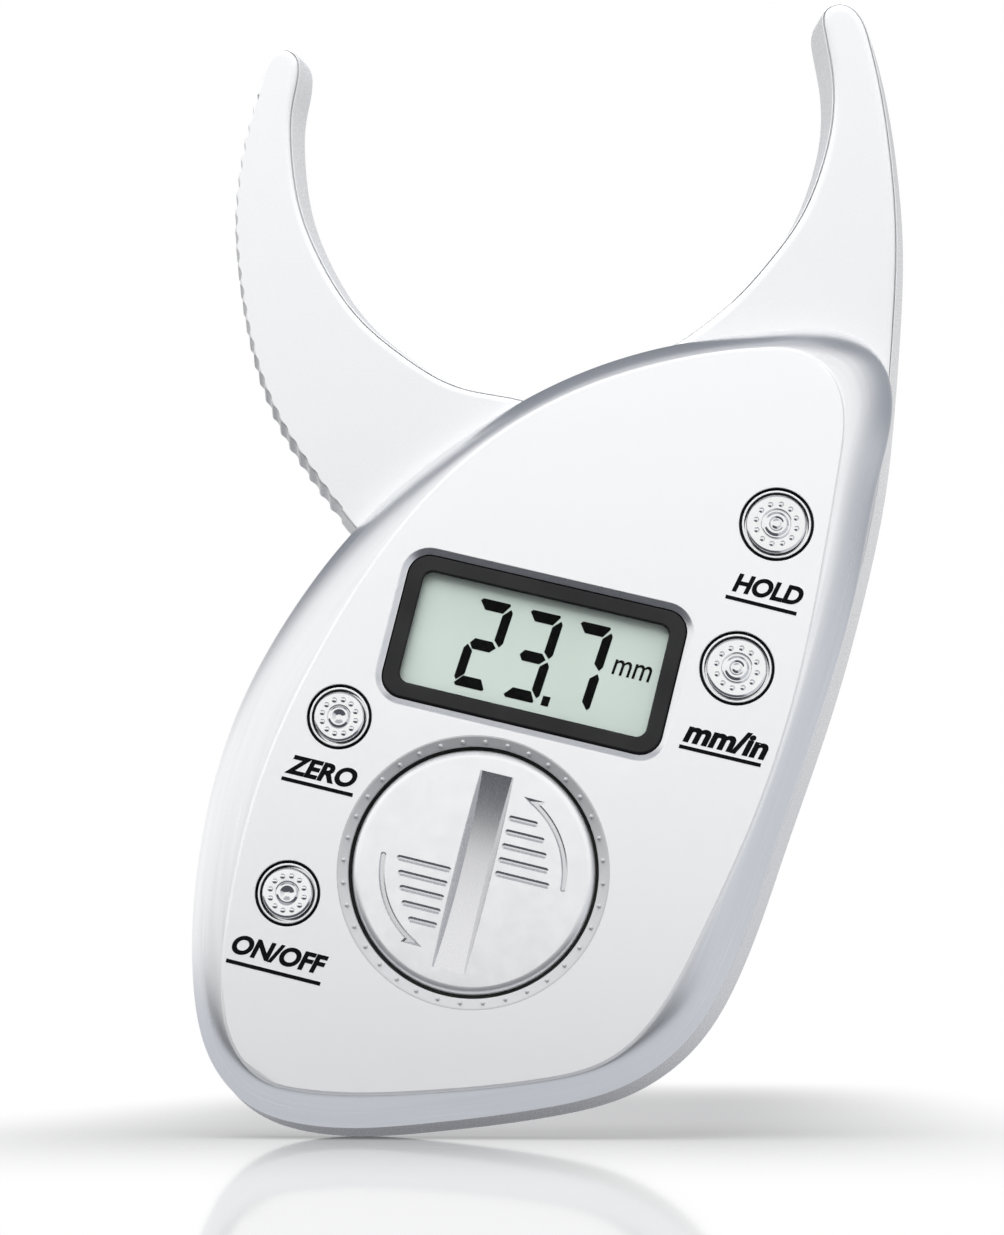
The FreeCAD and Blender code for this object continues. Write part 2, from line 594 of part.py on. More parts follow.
def pivot_screw():
    seat = JOURNAL_TOP + WASHER_THICKNESS
    screw = disc((0, 0), PIVOT_SCREW_RADIUS, FLOOR + 1, seat)
    screw = screw.fuse(disc((0, 0), PIVOT_HEAD_RADIUS, seat, seat + PIVOT_HEAD_HEIGHT))
    return screw.cut(cross_slot((0, 0), seat + PIVOT_HEAD_HEIGHT))


def return_spring():
    """Torsion spring round the journal, wound from half turns, with a leg in the floor and one in the jaw."""
    base = JAW_Z + SPRING_WIRE + SNUG
    rise = SPRING_PITCH / 2
    reach = math.hypot(SPRING_RADIUS, rise / 2)
    tilt = math.degrees(math.atan2(rise / 2, SPRING_RADIUS))
    height = SPRING_TURNS * SPRING_PITCH
    start = (SPRING_RADIUS, 0)
    low_leg = disc(start, SPRING_WIRE, FLOOR / 2 + SNUG, base)
    high_leg = disc(start, SPRING_WIRE, base + height, base + height + SPRING_LEG)
    wire = [low_leg, high_leg, Part.makeSphere(SPRING_WIRE, Vector(SPRING_RADIUS, 0, base))]
    for number in range(2 * SPRING_TURNS):
        side = (-1) ** number
        bend = Part.makeTorus(reach, SPRING_WIRE, Vector(), Vector(0, 0, 1), -180, 180, 180)
        bend.rotate(Vector(), Vector(0, 1, 0), tilt)
        bend.rotate(Vector(), Vector(0, 0, 1), 90 - 90 * side)
        bend.translate(Vector(0, 0, base + (number + 0.5) * rise))
        end = Vector(-side * SPRING_RADIUS, 0, base + (number + 1) * rise)
        wire += [bend, Part.makeSphere(SPRING_WIRE, end)]
    return wire[0].fuse(wire[1:])


def housing_screws():
    screws = []
    for at in HOUSING_SCREWS:
        head = disc(at, SCREW_HEAD_RADIUS, SCREW_SUNK, SCREW_SUNK + SCREW_HEAD_HEIGHT)
        recess = cross_slot(at, SCREW_SUNK)
        recess = recess.mirror(Vector(at[0], at[1], SCREW_SUNK), Vector(0, 0, 1))
        screw = head.cut(recess)
        screws.append(screw.fuse(disc(at, SCREW_RADIUS, SCREW_SUNK + SCREW_HEAD_HEIGHT, SCREW_END_Z)))
    return Part.makeCompound(screws)


def board_screws():
    screws = []
    for at in BOARD_SCREWS:
        head = disc(at, BOARD_HEAD_RADIUS, BOARD_Z - BOARD_HEAD_HEIGHT, BOARD_Z)
        screws.append(head.fuse(disc(at, BOARD_SCREW_RADIUS, BOARD_Z, SCREW_END_Z)))
    return Part.makeCompound(screws)


def battery_tray():
    at = BATTERY_AT
    floor_top = TRAY_FLOOR_Z + TRAY_FLOOR
    tray = disc(at, TRAY_RADIUS, TRAY_FLOOR_Z, PANEL_Z)
    tray = tray.fuse(disc(at, COLLAR_RADIUS, COLLAR_Z, PANEL_Z))
    tray = tray.cut(disc(at, STEP_RADIUS, floor_top, PANEL_Z + 1))
    tray = tray.cut(disc(at, BORE_RADIUS, STEP_Z, PANEL_Z + 1))
    tray = tray.cut(cone(at, BORE_RADIUS, COLLAR_RADIUS - SNUG, COVER_FACE, PANEL_Z))
    for number in range(LUGS):
        lock = number * 360 / LUGS
        start = lock - LUG_ANGLE
        end = lock + UNLOCK + LUG_ANGLE
        groove = sector(at, LUG_INSIDE, GROOVE_RADIUS, start, end, GROOVE_Z, GROOVE_Z + GROOVE_HEIGHT)
        notch_start = lock + UNLOCK - NOTCH_ANGLE / 2
        notch_end = lock + UNLOCK + NOTCH_ANGLE / 2
        notch = sector(at, LUG_INSIDE, GROOVE_RADIUS, notch_start, notch_end, GROOVE_Z, PANEL_Z)
        notch = notch.cut(disc(at, GROOVE_RADIUS + 1, STEP_Z, PANEL_Z + 1))
        tray = tray.cut(groove).cut(notch)
    pocket = CELL_RADIUS + 2 * SNUG
    tray = tray.fuse(ring(at, pocket, pocket + POCKET_WALL, floor_top - SNUG, floor_top + POCKET_HEIGHT))
    for side in (-1, 1):
        middle = (at[0] + side * CONTACT_OFFSET, at[1] + (TAIL_REACH + CELL_RADIUS) / 2)
        size = (CONTACT_WIDTH + 2 * SNUG, TAIL_REACH)
        height = 3 * CONTACT_THICKNESS
        if side > 0:
            gate_top = floor_top + POCKET_HEIGHT + 1
            tray = tray.cut(block((middle[0], at[1] + pocket), (size[0], GATE_DEPTH), floor_top, gate_top))
        tray = tray.cut(block(middle, size, floor_top, floor_top + height))
    for number in range(DOTS):
        spot = polar(at, BORE_RADIUS + DOT_OUT, number * 360 / DOTS)
        tray = tray.fuse(Part.makeSphere(DOT_RADIUS, Vector(*spot, PANEL_Z - DISH / 2 - DOT_RADIUS / 3)))
    return tray


def coin_slot():
    """Cutter for the coin slot: leaning sides over a floor that is an arc along its length."""
    width, length = COIN_SLOT
    x, y = BATTERY_AT
    low, high = COVER_FACE - COIN_SLOT_DEPTH, COVER_FACE + COIN_SLOT_DEPTH
    slope = COIN_SLOT_SLOPE
    corners = [
        (x - width / 2 + slope, low), (x + width / 2 - slope, low),
        (x + width / 2 + slope, high), (x - width / 2 - slope, high),
    ]
    section = Part.makePolygon([Vector(cx, y - length / 2, cz) for cx, cz in corners + corners[:1]])
    wedge = Part.Face(section).extrude(Vector(0, length, 0))
    sag = COIN_SLOT_DEPTH - COIN_SLOT_END
    radius = (length**2 / 4 + sag**2) / (2 * sag)
    arc = Part.makeCylinder(radius, 2 * width, Vector(x - width, y, low + radius), Vector(1, 0, 0))
    return wedge.common(arc)


def battery_cover():
    at = BATTERY_AT
    base = COVER_FACE - DISC_THICKNESS
    cover = disc(at, DISC_RADIUS, base, COVER_FACE)
    cover = cover.makeFillet(DISC_EDGE, [e for e in cover.Edges if e.BoundBox.ZMin > base])
    cover = cover.fuse(ring(at, SKIRT_OUTER - SKIRT_WALL, SKIRT_OUTER, SKIRT_Z, base))
    for number in range(LUGS):
        lock = number * 360 / LUGS
        low = GROOVE_Z + (GROOVE_HEIGHT - LUG_HEIGHT) / 2
        start, end = lock - LUG_ANGLE / 2, lock + LUG_ANGLE / 2
        lug = sector(at, SKIRT_OUTER - SKIRT_WALL, LUG_REACH, start, end, low, low + LUG_HEIGHT)
        cover = cover.fuse(lug)
    cover = cover.cut(coin_slot())
    for row, length in enumerate(GRIP_LENGTHS):
        for side in (-1, 1):
            middle = (at[0] + side * (GRIP_START + length / 2), at[1] + side * (GRIP_TOP - row * GRIP_PITCH))
            groove = block(middle, (length, GRIP_WIDTH), COVER_FACE - GRIP_DEPTH, PANEL_Z)
            cover = cover.cut(groove)
    return cover


def cover_seal():
    return ring(BATTERY_AT, DISC_RADIUS, BORE_RADIUS - RUNNING, STEP_Z + SNUG, STEP_Z + SNUG + SEAL_HEIGHT)


def coin_cell():
    radius, step = CELL_CAN_STEP
    cell = disc(BATTERY_AT, radius, CELL_Z, CELL_Z + step)
    return cell.fuse(disc(BATTERY_AT, CELL_RADIUS, CELL_Z + step, CELL_Z + CELL_HEIGHT))


def contact_tail(side, start):
    """Strip on the tray's floor that runs out over the board."""
    floor_top = TRAY_FLOOR_Z + TRAY_FLOOR
    length = TAIL_REACH - start
    middle = (BATTERY_AT[0] + side * CONTACT_OFFSET, BATTERY_AT[1] + start + length / 2)
    low = max(floor_top, BOARD_TOP)
    return block(middle, (CONTACT_WIDTH, length), low, low + CONTACT_THICKNESS)


def positive_contact():
    at = BATTERY_AT
    edge = math.sqrt(CELL_RADIUS**2 - (CONTACT_OFFSET - CONTACT_WIDTH / 2) ** 2)
    tail = contact_tail(1, edge)
    middle = (at[0] + CONTACT_OFFSET, at[1] + edge + CONTACT_THICKNESS / 2)
    leaf = block(middle, (CONTACT_WIDTH, CONTACT_THICKNESS), tail.BoundBox.ZMin, CELL_Z + LEAF_HEIGHT)
    return tail.fuse(leaf)


def negative_contact():
    tail = contact_tail(-1, -CONTACT_WIDTH)
    at = (BATTERY_AT[0] - CONTACT_OFFSET, BATTERY_AT[1])
    pip = cone(at, CONTACT_WIDTH / 2, CONTACT_WIDTH / 3, tail.BoundBox.ZMin, CELL_Z)
    return tail.fuse(pip)


def pieces():
    made = {
        "back_shell": back_shell(),
        "front_cover": front_cover(),
        "display_bezel": display_bezel(),
        "display_window": display_window(),
        "lcd_panel": lcd_panel(),
        "lcd_holder": lcd_holder(),
        "lcd_connector_strips": lcd_connector_strips(),
        "circuit_board": circuit_board(),
        "controller_chip": controller_chip(),
        "board_components": board_components(),
        "tact_switches": tact_switches(),
        "encoder_stator": encoder_stator(),
        "encoder_rotor": encoder_rotor(),
        "moving_jaw": moving_jaw(),
        "pivot_bush": pivot_bush(),
        "pivot_washer": pivot_washer(),
        "pivot_screw": pivot_screw(),
        "return_spring": return_spring(),
        "housing_screws": housing_screws(),
        "board_screws": board_screws(),
        "battery_tray": battery_tray(),
        "battery_cover": battery_cover(),
        "cover_seal": cover_seal(),
        "coin_cell": coin_cell(),
        "positive_contact": positive_contact(),
        "negative_contact": negative_contact(),
    }
    for name, at, radius in BUTTONS:
        made[name + "_button"] = button(at, radius)
        made[name + "_plunger"] = plunger(at)
    return made


def stand_up(shape):
    """Turn a piece from its drawing position to the leaning, upright one."""
    upright = FreeCAD.Rotation(Vector(1, 0, 0), 90)
    leaning = FreeCAD.Rotation(Vector(0, 1, 0), LEAN)
    placement = FreeCAD.Placement(Vector(0, 0, 0), leaning.multiply(upright))
    return shape.transformed(placement.toMatrix())


def main():
    os.makedirs("parts", exist_ok=True)
    for name, shape in pieces().items():
        stand_up(shape).exportStep("parts/" + name + ".step")


main()
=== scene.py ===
import math

import bmesh
import bpy
import numpy as np
from mathutils import Matrix, Vector


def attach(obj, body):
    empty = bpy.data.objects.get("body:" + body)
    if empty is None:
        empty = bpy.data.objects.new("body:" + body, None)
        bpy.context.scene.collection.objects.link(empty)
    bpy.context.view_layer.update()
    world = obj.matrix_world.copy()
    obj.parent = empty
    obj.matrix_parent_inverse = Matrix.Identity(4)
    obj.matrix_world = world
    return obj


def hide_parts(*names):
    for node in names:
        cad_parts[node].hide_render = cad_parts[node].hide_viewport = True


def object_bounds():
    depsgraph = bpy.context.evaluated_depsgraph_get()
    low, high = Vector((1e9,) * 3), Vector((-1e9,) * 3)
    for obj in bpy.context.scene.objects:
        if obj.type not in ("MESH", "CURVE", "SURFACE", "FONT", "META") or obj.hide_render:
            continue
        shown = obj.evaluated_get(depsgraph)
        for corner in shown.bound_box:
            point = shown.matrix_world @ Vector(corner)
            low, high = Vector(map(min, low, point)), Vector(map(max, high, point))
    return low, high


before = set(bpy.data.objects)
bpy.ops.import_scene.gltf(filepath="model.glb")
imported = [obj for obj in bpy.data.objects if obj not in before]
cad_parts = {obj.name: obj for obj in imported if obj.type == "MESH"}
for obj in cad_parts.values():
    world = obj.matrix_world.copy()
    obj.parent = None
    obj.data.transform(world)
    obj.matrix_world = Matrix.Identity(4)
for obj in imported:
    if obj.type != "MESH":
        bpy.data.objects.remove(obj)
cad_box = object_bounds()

# Digital skinfold caliper. Every shape is drawn in millimetres as the caliper lies on its back: x to the
# right along the display, y up along the display, z from the flat back face towards the user, and the jaw
# pivot at x = y = 0. STAND turns a finished mesh upright, leans it to the right and brings it to metres.

LEAN = 14.0
STAND = (
    Matrix.Rotation(math.radians(LEAN), 4, "Y")
    @ Matrix.Rotation(math.radians(90), 4, "X")
    @ Matrix.Scale(0.001, 4)
)

# Housing
FLOOR = 2.0
WALL = 2.0
PART_Z = 12.0  # plane where the back shell and the front cover meet
RIM_TOP = 12.6  # top of the cover's upright rim, where its bevel starts
RIM_CHAMFER = 0.12
PANEL_Z = 19.2
COVER_WALL = 1.8
DRAFT = 9.0
BACK_EDGE = 1.8
SPACING = 0.8  # between neighbouring points along an outline
FINE_STEPS = 200  # between two points of an outline, where lengths are measured
SEARCH_STEPS = 20000  # round an outline, where the nearest place is looked for
HAIR = 0.01  # keeps joined solids from sharing a face, and tells one height from another
HOUSING_SIDE = [
    (-20.0, 57.3), (-34.1, 43.8), (-46.0, 27.6), (-53.6, 10.6), (-57.6, -4.8), (-58.7, -20.0),
    (-57.2, -36.0), (-53.3, -51.0), (-47.3, -61.4), (-40.0, -66.0), (-31.6, -66.7), (-12.5, -61.8),
    (5.0, -54.9), (16.0, -48.6), (23.6, -39.4), (27.6, -26.5), (30.0, -6.0), (32.2, 16.0),
    (33.0, 36.0), (32.5, 54.0),
]
COVER_TOP = [(30.6, 69.0), (26.6, 73.4), (20.6, 74.8), (10.8, 72.5), (-5.3, 66.3)]
PANEL = [
    (-17.7, 53.9), (-30.6, 40.8), (-39.9, 24.3), (-45.6, 7.6), (-48.8, -6.2), (-50.4, -20.4),
    (-50.0, -35.0), (-47.5, -49.8), (-43.6, -57.4), (-38.6, -60.8), (-32.2, -61.1), (-14.2, -56.9),
    (3.2, -50.7), (12.4, -45.4), (18.2, -36.4), (21.6, -24.2), (25.2, -6.0), (27.2, 15.8),
    (26.8, 35.6), (25.8, 52.2), (24.2, 61.8), (21.2, 66.4), (16.4, 68.5), (9.6, 67.6), (-4.0, 62.3),
]
FIXED_JAW = [
    (31.0, 66.5), (29.1, 79.0), (26.4, 93.0), (22.7, 105.5), (18.4, 116.8), (14.8, 124.4), (12.0, 128.3),
    (9.0, 129.3), (6.7, 127.6), (7.2, 124.6), (10.1, 117.6), (11.9, 110.0), (12.1, 102.0), (10.6, 92.4),
    (7.4, 84.4), (3.3, 76.8), (-0.8, 71.3), (-5.4, 66.6), (-12.5, 62.4),
]
BEVEL_STEPS = 18
BEVEL_ROUND = 1.4  # power of the cosine that the bevel follows
STEP_DROP = 0.35  # the panel stands this far out of the bevel round it
STEP_WIDTH = 0.5
STEP_LINE = [(0.34, 0.33), (0.22, 0.24), (0.12, 0.1), (0.05, 0.03), (0.0, 0.0)]  # distance out, depth
SEAM_WIDTH = 0.24  # of the fine groove round the front edge of the jaws
SEAM_DEPTH = 0.6
SEAM_LEDGE = 0.15  # how far the groove's outer side lies below its inner side
SEAM_INSET = 0.14  # of the groove from the side
BORDER = (0.12, 1.25)  # width of the rounded front edge beside the cover and on the jaw
BORDER_DROP = (0.12, 0.5)
BORDER_GROWS = (-0.5, 1.5)  # between these points after the jaw's first one
BORDER_SHRINKS = (-2.5, -0.5)
POST_RADIUS = 3.0
POST_GAP = 0.4  # below the parting plane
JOURNAL = (4.4, 2.25, 3.0, 10.7)  # radius and top of its foot, then of the journal itself

# Moving jaw
MOVING_JAW = [
    (3.0, 8.0), (-3.0, 32.0), (-12.0, 47.5), (-25.2, 53.4), (-36.8, 53.3), (-46.6, 56.2), (-55.6, 60.9),
    (-63.7, 68.3), (-69.9, 76.9), (-73.7, 86.0), (-75.5, 93.5), (-76.0, 99.4), (-77.2, 102.1),
    (-79.2, 102.8), (-81.0, 101.2), (-81.7, 97.0), (-81.9, 91.2), (-81.6, 83.0), (-80.1, 73.4),
    (-76.8, 63.5), (-72.2, 53.4), (-65.4, 43.0), (-56.5, 34.2), (-47.5, 26.9), (-34.0, 16.4), (-14.0, 0.0),
]
JAW_Z = 2.4
JAW_TOP = 10.6
JAW_EDGE = 0.8
JAW_INSIDE = (12.5, 14.5, 25.0, 26.0)  # points where the inner side's wide edge fades out and comes back
JAW_BORDER = (0.35, 0.6)  # width of the front edge, and what the inner side adds
JAW_DROP = (0.3, 0.2)
HUB_RADIUS = 17.0
BUSH_RADIUS = 4.48
SLOT_Z = (2.0, 11.0)
SLOT_REACH = 78.0
SLOT_ARC = (86.0, 152.4)
SERRATION_FROM = (-81.75, 93.5)
SERRATION_TO = (-51.5, 30.0)
SERRATION_PITCH = 2.9
SERRATION_RADIUS = 1.9
SERRATION_DEPTH = 0.5
SERRATION_SPACING = 0.2
SERRATION_MARGIN = 0.45  # of a pitch, before the first and after the last scallop

# Housing screws
HOUSING_SCREWS = [(25.3, 63.6), (24.6, -14.5), (8.0, -46.5), (-45.0, -55.0), (-49.6, 6.0)]
SCREW_RADIUS = 1.1
SCREW_HEAD_RADIUS = 2.2
SCREW_HEAD_HEIGHT = 1.5
SCREW_SUNK = 0.8
SCREW_END_Z = 16.6
SCREW_ROOM = 0.15
SCREW_CHAMFER = 0.3
SCREW_HOLE_TOP = FLOOR + 1.5
CROSS = (2.4, 0.6, 0.7)  # length, width and depth of the driver recess

# Display
DISPLAY_AT = (-13.5, 12.5)
BEZEL_SIZE = (44.8, 23.0)
BEZEL_CORNER = 3.4
BEZEL_TOP = 18.8
BEZEL_BASE = 16.6
BEZEL_WIDTH = 2.55
BEZEL_SEAT = 1.58  # width of the part below the window
VIEW_CORNER = 1.6
GLASS_SIZE = (41.4, 19.6)
GLASS_CORNER = 0.6
WINDOW_Z = (17.6, 18.5)
LCD_Z = (15.5, 17.4)
RECESS_WIDTH = 1.1
RECESS_DEPTH = 0.6
RECESS_LINE = [  # distance from the bezel, depth
    (RECESS_WIDTH + 0.15, 0.0), (RECESS_WIDTH, 0.04), (RECESS_WIDTH - 0.15, 0.14),
    (0.35, RECESS_DEPTH - 0.06), (0.2, RECESS_DEPTH), (0.15, RECESS_DEPTH + 0.1), (0.15, COVER_WALL),
]

# Battery compartment
BATTERY_AT = (-14.5, -22.7)
BORE_RADIUS = 19.55
TRAY_RADIUS = 20.7
TRAY_ROOM = 0.15
COLLAR_RADIUS = 21.15
COLLAR_Z = 18.2
LIP_Z = 18.8  # inner edge of the dished collar
TRAY_Z = 11.5
TRAY_FLOOR_Z = 12.4
STEP_RADIUS = 18.9
STEP_Z = 16.6
DISC_RADIUS = 19.0
DISC_Z = 18.8
SEAL_Z = (16.75, 18.05)
SKIRT = (17.0, 18.2)  # inner and outer radius of the skirt below the battery cover
SKIRT_Z = 15.2
DISC_BASE = DISC_Z - 2.16
COIN_SLOT_LENGTH = 31.2
COIN_SLOT_STEPS = 32
COIN_SLOT_WIDTH = (5.0, 5.6)  # across the top, at the ends and in the middle
COIN_SLOT_FLOOR = (4.8, 3.9)
COIN_SLOT_DEPTH = (0.15, 1.7)
COIN_SLOT_EDGE = (0.14, 0.34)  # depth and width of the slot's bevelled edge
COIN_SLOT_BULGE = 2.2  # power of the floor's arc
CUT_RISE = 0.2  # height of the slot's cutter over the cover
GRIP_LENGTHS = (4.4, 6.0, 6.9, 7.7, 8.4)
GRIP_START = 3.5
GRIP_TOP = 9.4
GRIP_PITCH = 2.2
GRIP_WIDTH = 1.0
GRIP_END = 0.3
ARROW_SHAFT = (13.7, 14.7)  # inner and outer radius
ARROW_TAIL = 1.0  # directions in degrees, from the middle of the cover
ARROW_BARB = 57.5
ARROW_TIP = 70.0
ARROW_BARB_RADIUS = 15.5
ARROW_TIP_RADIUS = 14.0
ARROW_STEPS = 23
GROOVE_DEPTH = 0.17
ENGRAVED_RADIUS = 16.6
GROOVE_LEAN = (0.38, 0.26)  # how far the walls lean in at the floor, of the grip lines and the arrows
DOTS = 36
DOT_RADIUS = 0.36
DOT_CIRCLE = 20.2
DOT_Z = 18.93
DOT_PHASE = -1.5

# Middle of a cap from its ring groove inwards: share of the radius, height over the cap, corner
BOSS = [
    (0.41, 0.0, 0.05), (0.33, 0.24, 0.08), (0.25, 0.24, 0.06), (0.2, 0.05, 0.05), (0.17, 0.05, 0.05),
    (0.1, 0.2, 0.1), (0, 0.22, 0),
]
DIMPLE = [(0.35, 0.15, 0.08), (0.28, 0.15, 0.08), (0.12, -0.2, 0.1), (0, -0.24, 0)]
# Buttons: name, centre, radius, share of the radius at the ring groove, and the middle inside it
BUTTONS = [
    ("hold", (18.6, 41.0), 4.7, 0.49, BOSS),
    ("units", (17.8, 17.5), 4.7, 0.49, BOSS),
    ("zero", (-40.75, -4.25), 4.0, 0.44, DIMPLE),
    ("power", (-41.7, -32.8), 4.0, 0.44, DIMPLE),
]
CAP_TOP = 19.5
CAP_BASE = 16.4
FLANGE = (0.9, 0.6)  # width and height of the cap's flange inside the cover
LAND = (0.34, 0.66)  # flat ring round each cap, from the cap's side
GROOVE_OUT = 1.12  # outer edge of the groove round that ring
GROOVE_DROP = 1.1
# Below this depth the groove round a button, and the battery opening's wall, take a near-black painted
# shade.
PAINT_DEPTH = 0.16  # how far the panel's paint reaches into that groove
NUBS = 12
NUB_RADIUS = 0.66
NUB_SHARE = 0.68
NUB_OUT = 0.17

# Printing and the digits of the display
INK_LIFT = 0.02
INK_THICKNESS = 0.01
LETTER_SIZE = 10.0
LABEL_SLANT = 13.0
LABEL_WEIGHT = 0.42
UNDERLINE_WIDTH = 0.6
# Name, word, lower left and upper right corner, underline's ends
LABELS = [
    ("hold_label", "HOLD", (14.2, 29.1), (25.2, 32.2), (13.5, 28.1), (24.8, 27.9)),
    ("units_label", "mm/in", (12.2, 4.45), (25.4, 8.2), (11.9, 3.65), (24.8, 3.65)),
    ("zero_label", "ZERO", (-47.0, -14.75), (-35.6, -11.6), (-47.2, -15.65), (-35.6, -15.65)),
    ("power_label", "ON/OFF", (-48.1, -43.75), (-32.9, -40.65), (-48.4, -45.05), (-33.2, -45.05)),
]
UNIT_BOX = ((-1.1, 12.4), (5.05, 14.85))
UNIT_SLANT = 7.0
UNIT_WEIGHT = 0.05
DIGIT_WIDTH = 5.75
DIGIT_BASE = 5.05
DIGIT_TOP = 19.45
DIGIT_BAR = 1.75
DIGIT_SLANT = 0.075
DIGIT_RIGHT = -18.8  # right side of the first digit, level with its middle
DIGIT_PITCH = 8.08
POINT = (0.2, 1.4, 1.55, 0.35)  # left, right and height of the decimal point, and its gap to the digit
DIGITS = [
    ("top", "top_right", "middle", "bottom_left", "bottom"),
    ("top", "top_right", "middle", "bottom_right", "bottom"),
    ("top", "top_right", "bottom_right"),
]


# Outlines


class Outline:
    """Closed smooth curve through (x, y) points. A place on it is a number of points, such as 3.5."""

    def __init__(self, points):
        self.points = np.array(points, float)
        ahead = np.roll(self.points, -1, axis=0)
        self.gaps = np.linalg.norm(ahead - self.points, axis=1)
        self.bends = self.solve_bends((ahead - self.points) / self.gaps[:, None])

    def solve_bends(self, slopes):
        """Second derivative at each point, so that the curve runs smoothly through all of them."""
        count = len(self.points)
        before = np.roll(self.gaps, 1)
        matrix = np.diag(2 * (before + self.gaps))
        for row in range(count):
            matrix[row, row - 1] += before[row]
            matrix[row, (row + 1) % count] += self.gaps[row]
        return np.linalg.solve(matrix, 6 * (slopes - np.roll(slopes, 1, axis=0)))

    def at(self, places):
        """Positions and outward directions at the places."""
        places = np.asarray(places, float) % len(self.points)
        first = places.astype(int)
        second = (first + 1) % len(self.points)
        gap = self.gaps[first][:, None]
        gone = (places - first)[:, None] * gap
        left = gap - gone
        start, end = self.points[first], self.points[second]
        bend, next_bend = self.bends[first], self.bends[second]
        position = (bend * left**3 + next_bend * gone**3) / (6 * gap)
        position += (start / gap - bend * gap / 6) * left + (end / gap - next_bend * gap / 6) * gone
        along = (next_bend * gone**2 - bend * left**2) / (2 * gap)
        along += (end - start) / gap - (next_bend - bend) * gap / 6
        along /= np.linalg.norm(along, axis=1)[:, None]
        return position, np.stack([along[:, 1], -along[:, 0]], axis=1)

    def lengths(self, start, end):
        """Finely spaced places and how far each lies along the curve from the first."""
        places = np.linspace(start, end, int((end - start) * FINE_STEPS) + 2)
        steps = np.linalg.norm(np.diff(self.at(places)[0], axis=0), axis=1)
        return places, np.concatenate([[0.0], np.cumsum(steps)])

    def spaced(self, start, end, spacing):
        """Evenly spaced places from start up to, but without, end."""
        places, run = self.lengths(start, end)
        count = max(1, round(run[-1] / spacing))
        return np.interp(np.arange(count) * run[-1] / count, run, places)

    def all_round(self):
        return self.spaced(0, len(self.points), SPACING)

    def nearest(self, point):
        places = np.linspace(0, len(self.points), SEARCH_STEPS)
        distances = np.linalg.norm(self.at(places)[0] - np.array(point), axis=1)
        return places[distances.argmin()]


def smooth(values, low, high):
    """Rises smoothly from 0 at low to 1 at high."""
    share = np.clip((np.asarray(values, float) - low) / (high - low), 0, 1)
    return share * share * (3 - 2 * share)


def flare(z, top):
    """How far a drafted side stands out at height z."""
    return (top - z) * math.tan(math.radians(DRAFT))


def between(pair, share):
    return pair[0] + (pair[1] - pair[0]) * share


def circle(at, radius, count):
    angles = np.arange(count) * 2 * math.pi / count
    return np.stack([at[0] + radius * np.cos(angles), at[1] + radius * np.sin(angles)], axis=1)


def rounded_rectangle(at, size, corner, steps=8):
    """Anticlockwise loop with the same number of points whatever its size."""
    loop = []
    for quarter, (side_x, side_y) in enumerate(((1, 1), (-1, 1), (-1, -1), (1, -1))):
        for step in range(steps + 1):
            angle = math.radians(90 * (quarter + step / steps))
            x = at[0] + side_x * (size[0] / 2 - corner) + corner * math.cos(angle)
            y = at[1] + side_y * (size[1] / 2 - corner) + corner * math.sin(angle)
            loop.append((x, y))
    return np.array(loop)


def display_rings(size, line, corner):
    """(loop, height) levels round the display of a line of (reach, height)."""
    levels = []
    for reach, z in line:
        grown = (size[0] + 2 * reach, size[1] + 2 * reach)
        levels.append((rounded_rectangle(DISPLAY_AT, grown, corner(reach)), z))
    return levels


def capsule(start, end, width, steps=8):
    """Loop round a straight stretch with round ends."""
    start, end = np.array(start, float), np.array(end, float)
    heading = math.atan2(*(end - start)[::-1])
    loop = []
    for centre, turn in ((end, -90), (start, 90)):
        for step in range(steps + 1):
            angle = heading + math.radians(turn + 180 * step / steps)
            loop.append(centre + width / 2 * np.array([math.cos(angle), math.sin(angle)]))
    return np.array(loop)


def softened(corners, steps=4):
    """Polyline of (r, z) points from (r, z, how far the corner is cut back), with its corners rounded."""
    line = []
    last = len(corners) - 1
    for index, (r, z, cut) in enumerate(corners):
        here = np.array([r, z], float)
        if cut == 0 or index in (0, last):
            line.append((r, z))
            continue
        before = np.array(corners[index - 1][:2]) - here
        after = np.array(corners[index + 1][:2]) - here
        start = here + before / np.linalg.norm(before) * cut
        end = here + after / np.linalg.norm(after) * cut
        for step in range(steps + 1):
            t = step / steps
            line.append(tuple((1 - t) ** 2 * start + 2 * t * (1 - t) * here + t**2 * end))
    return line


# Solids


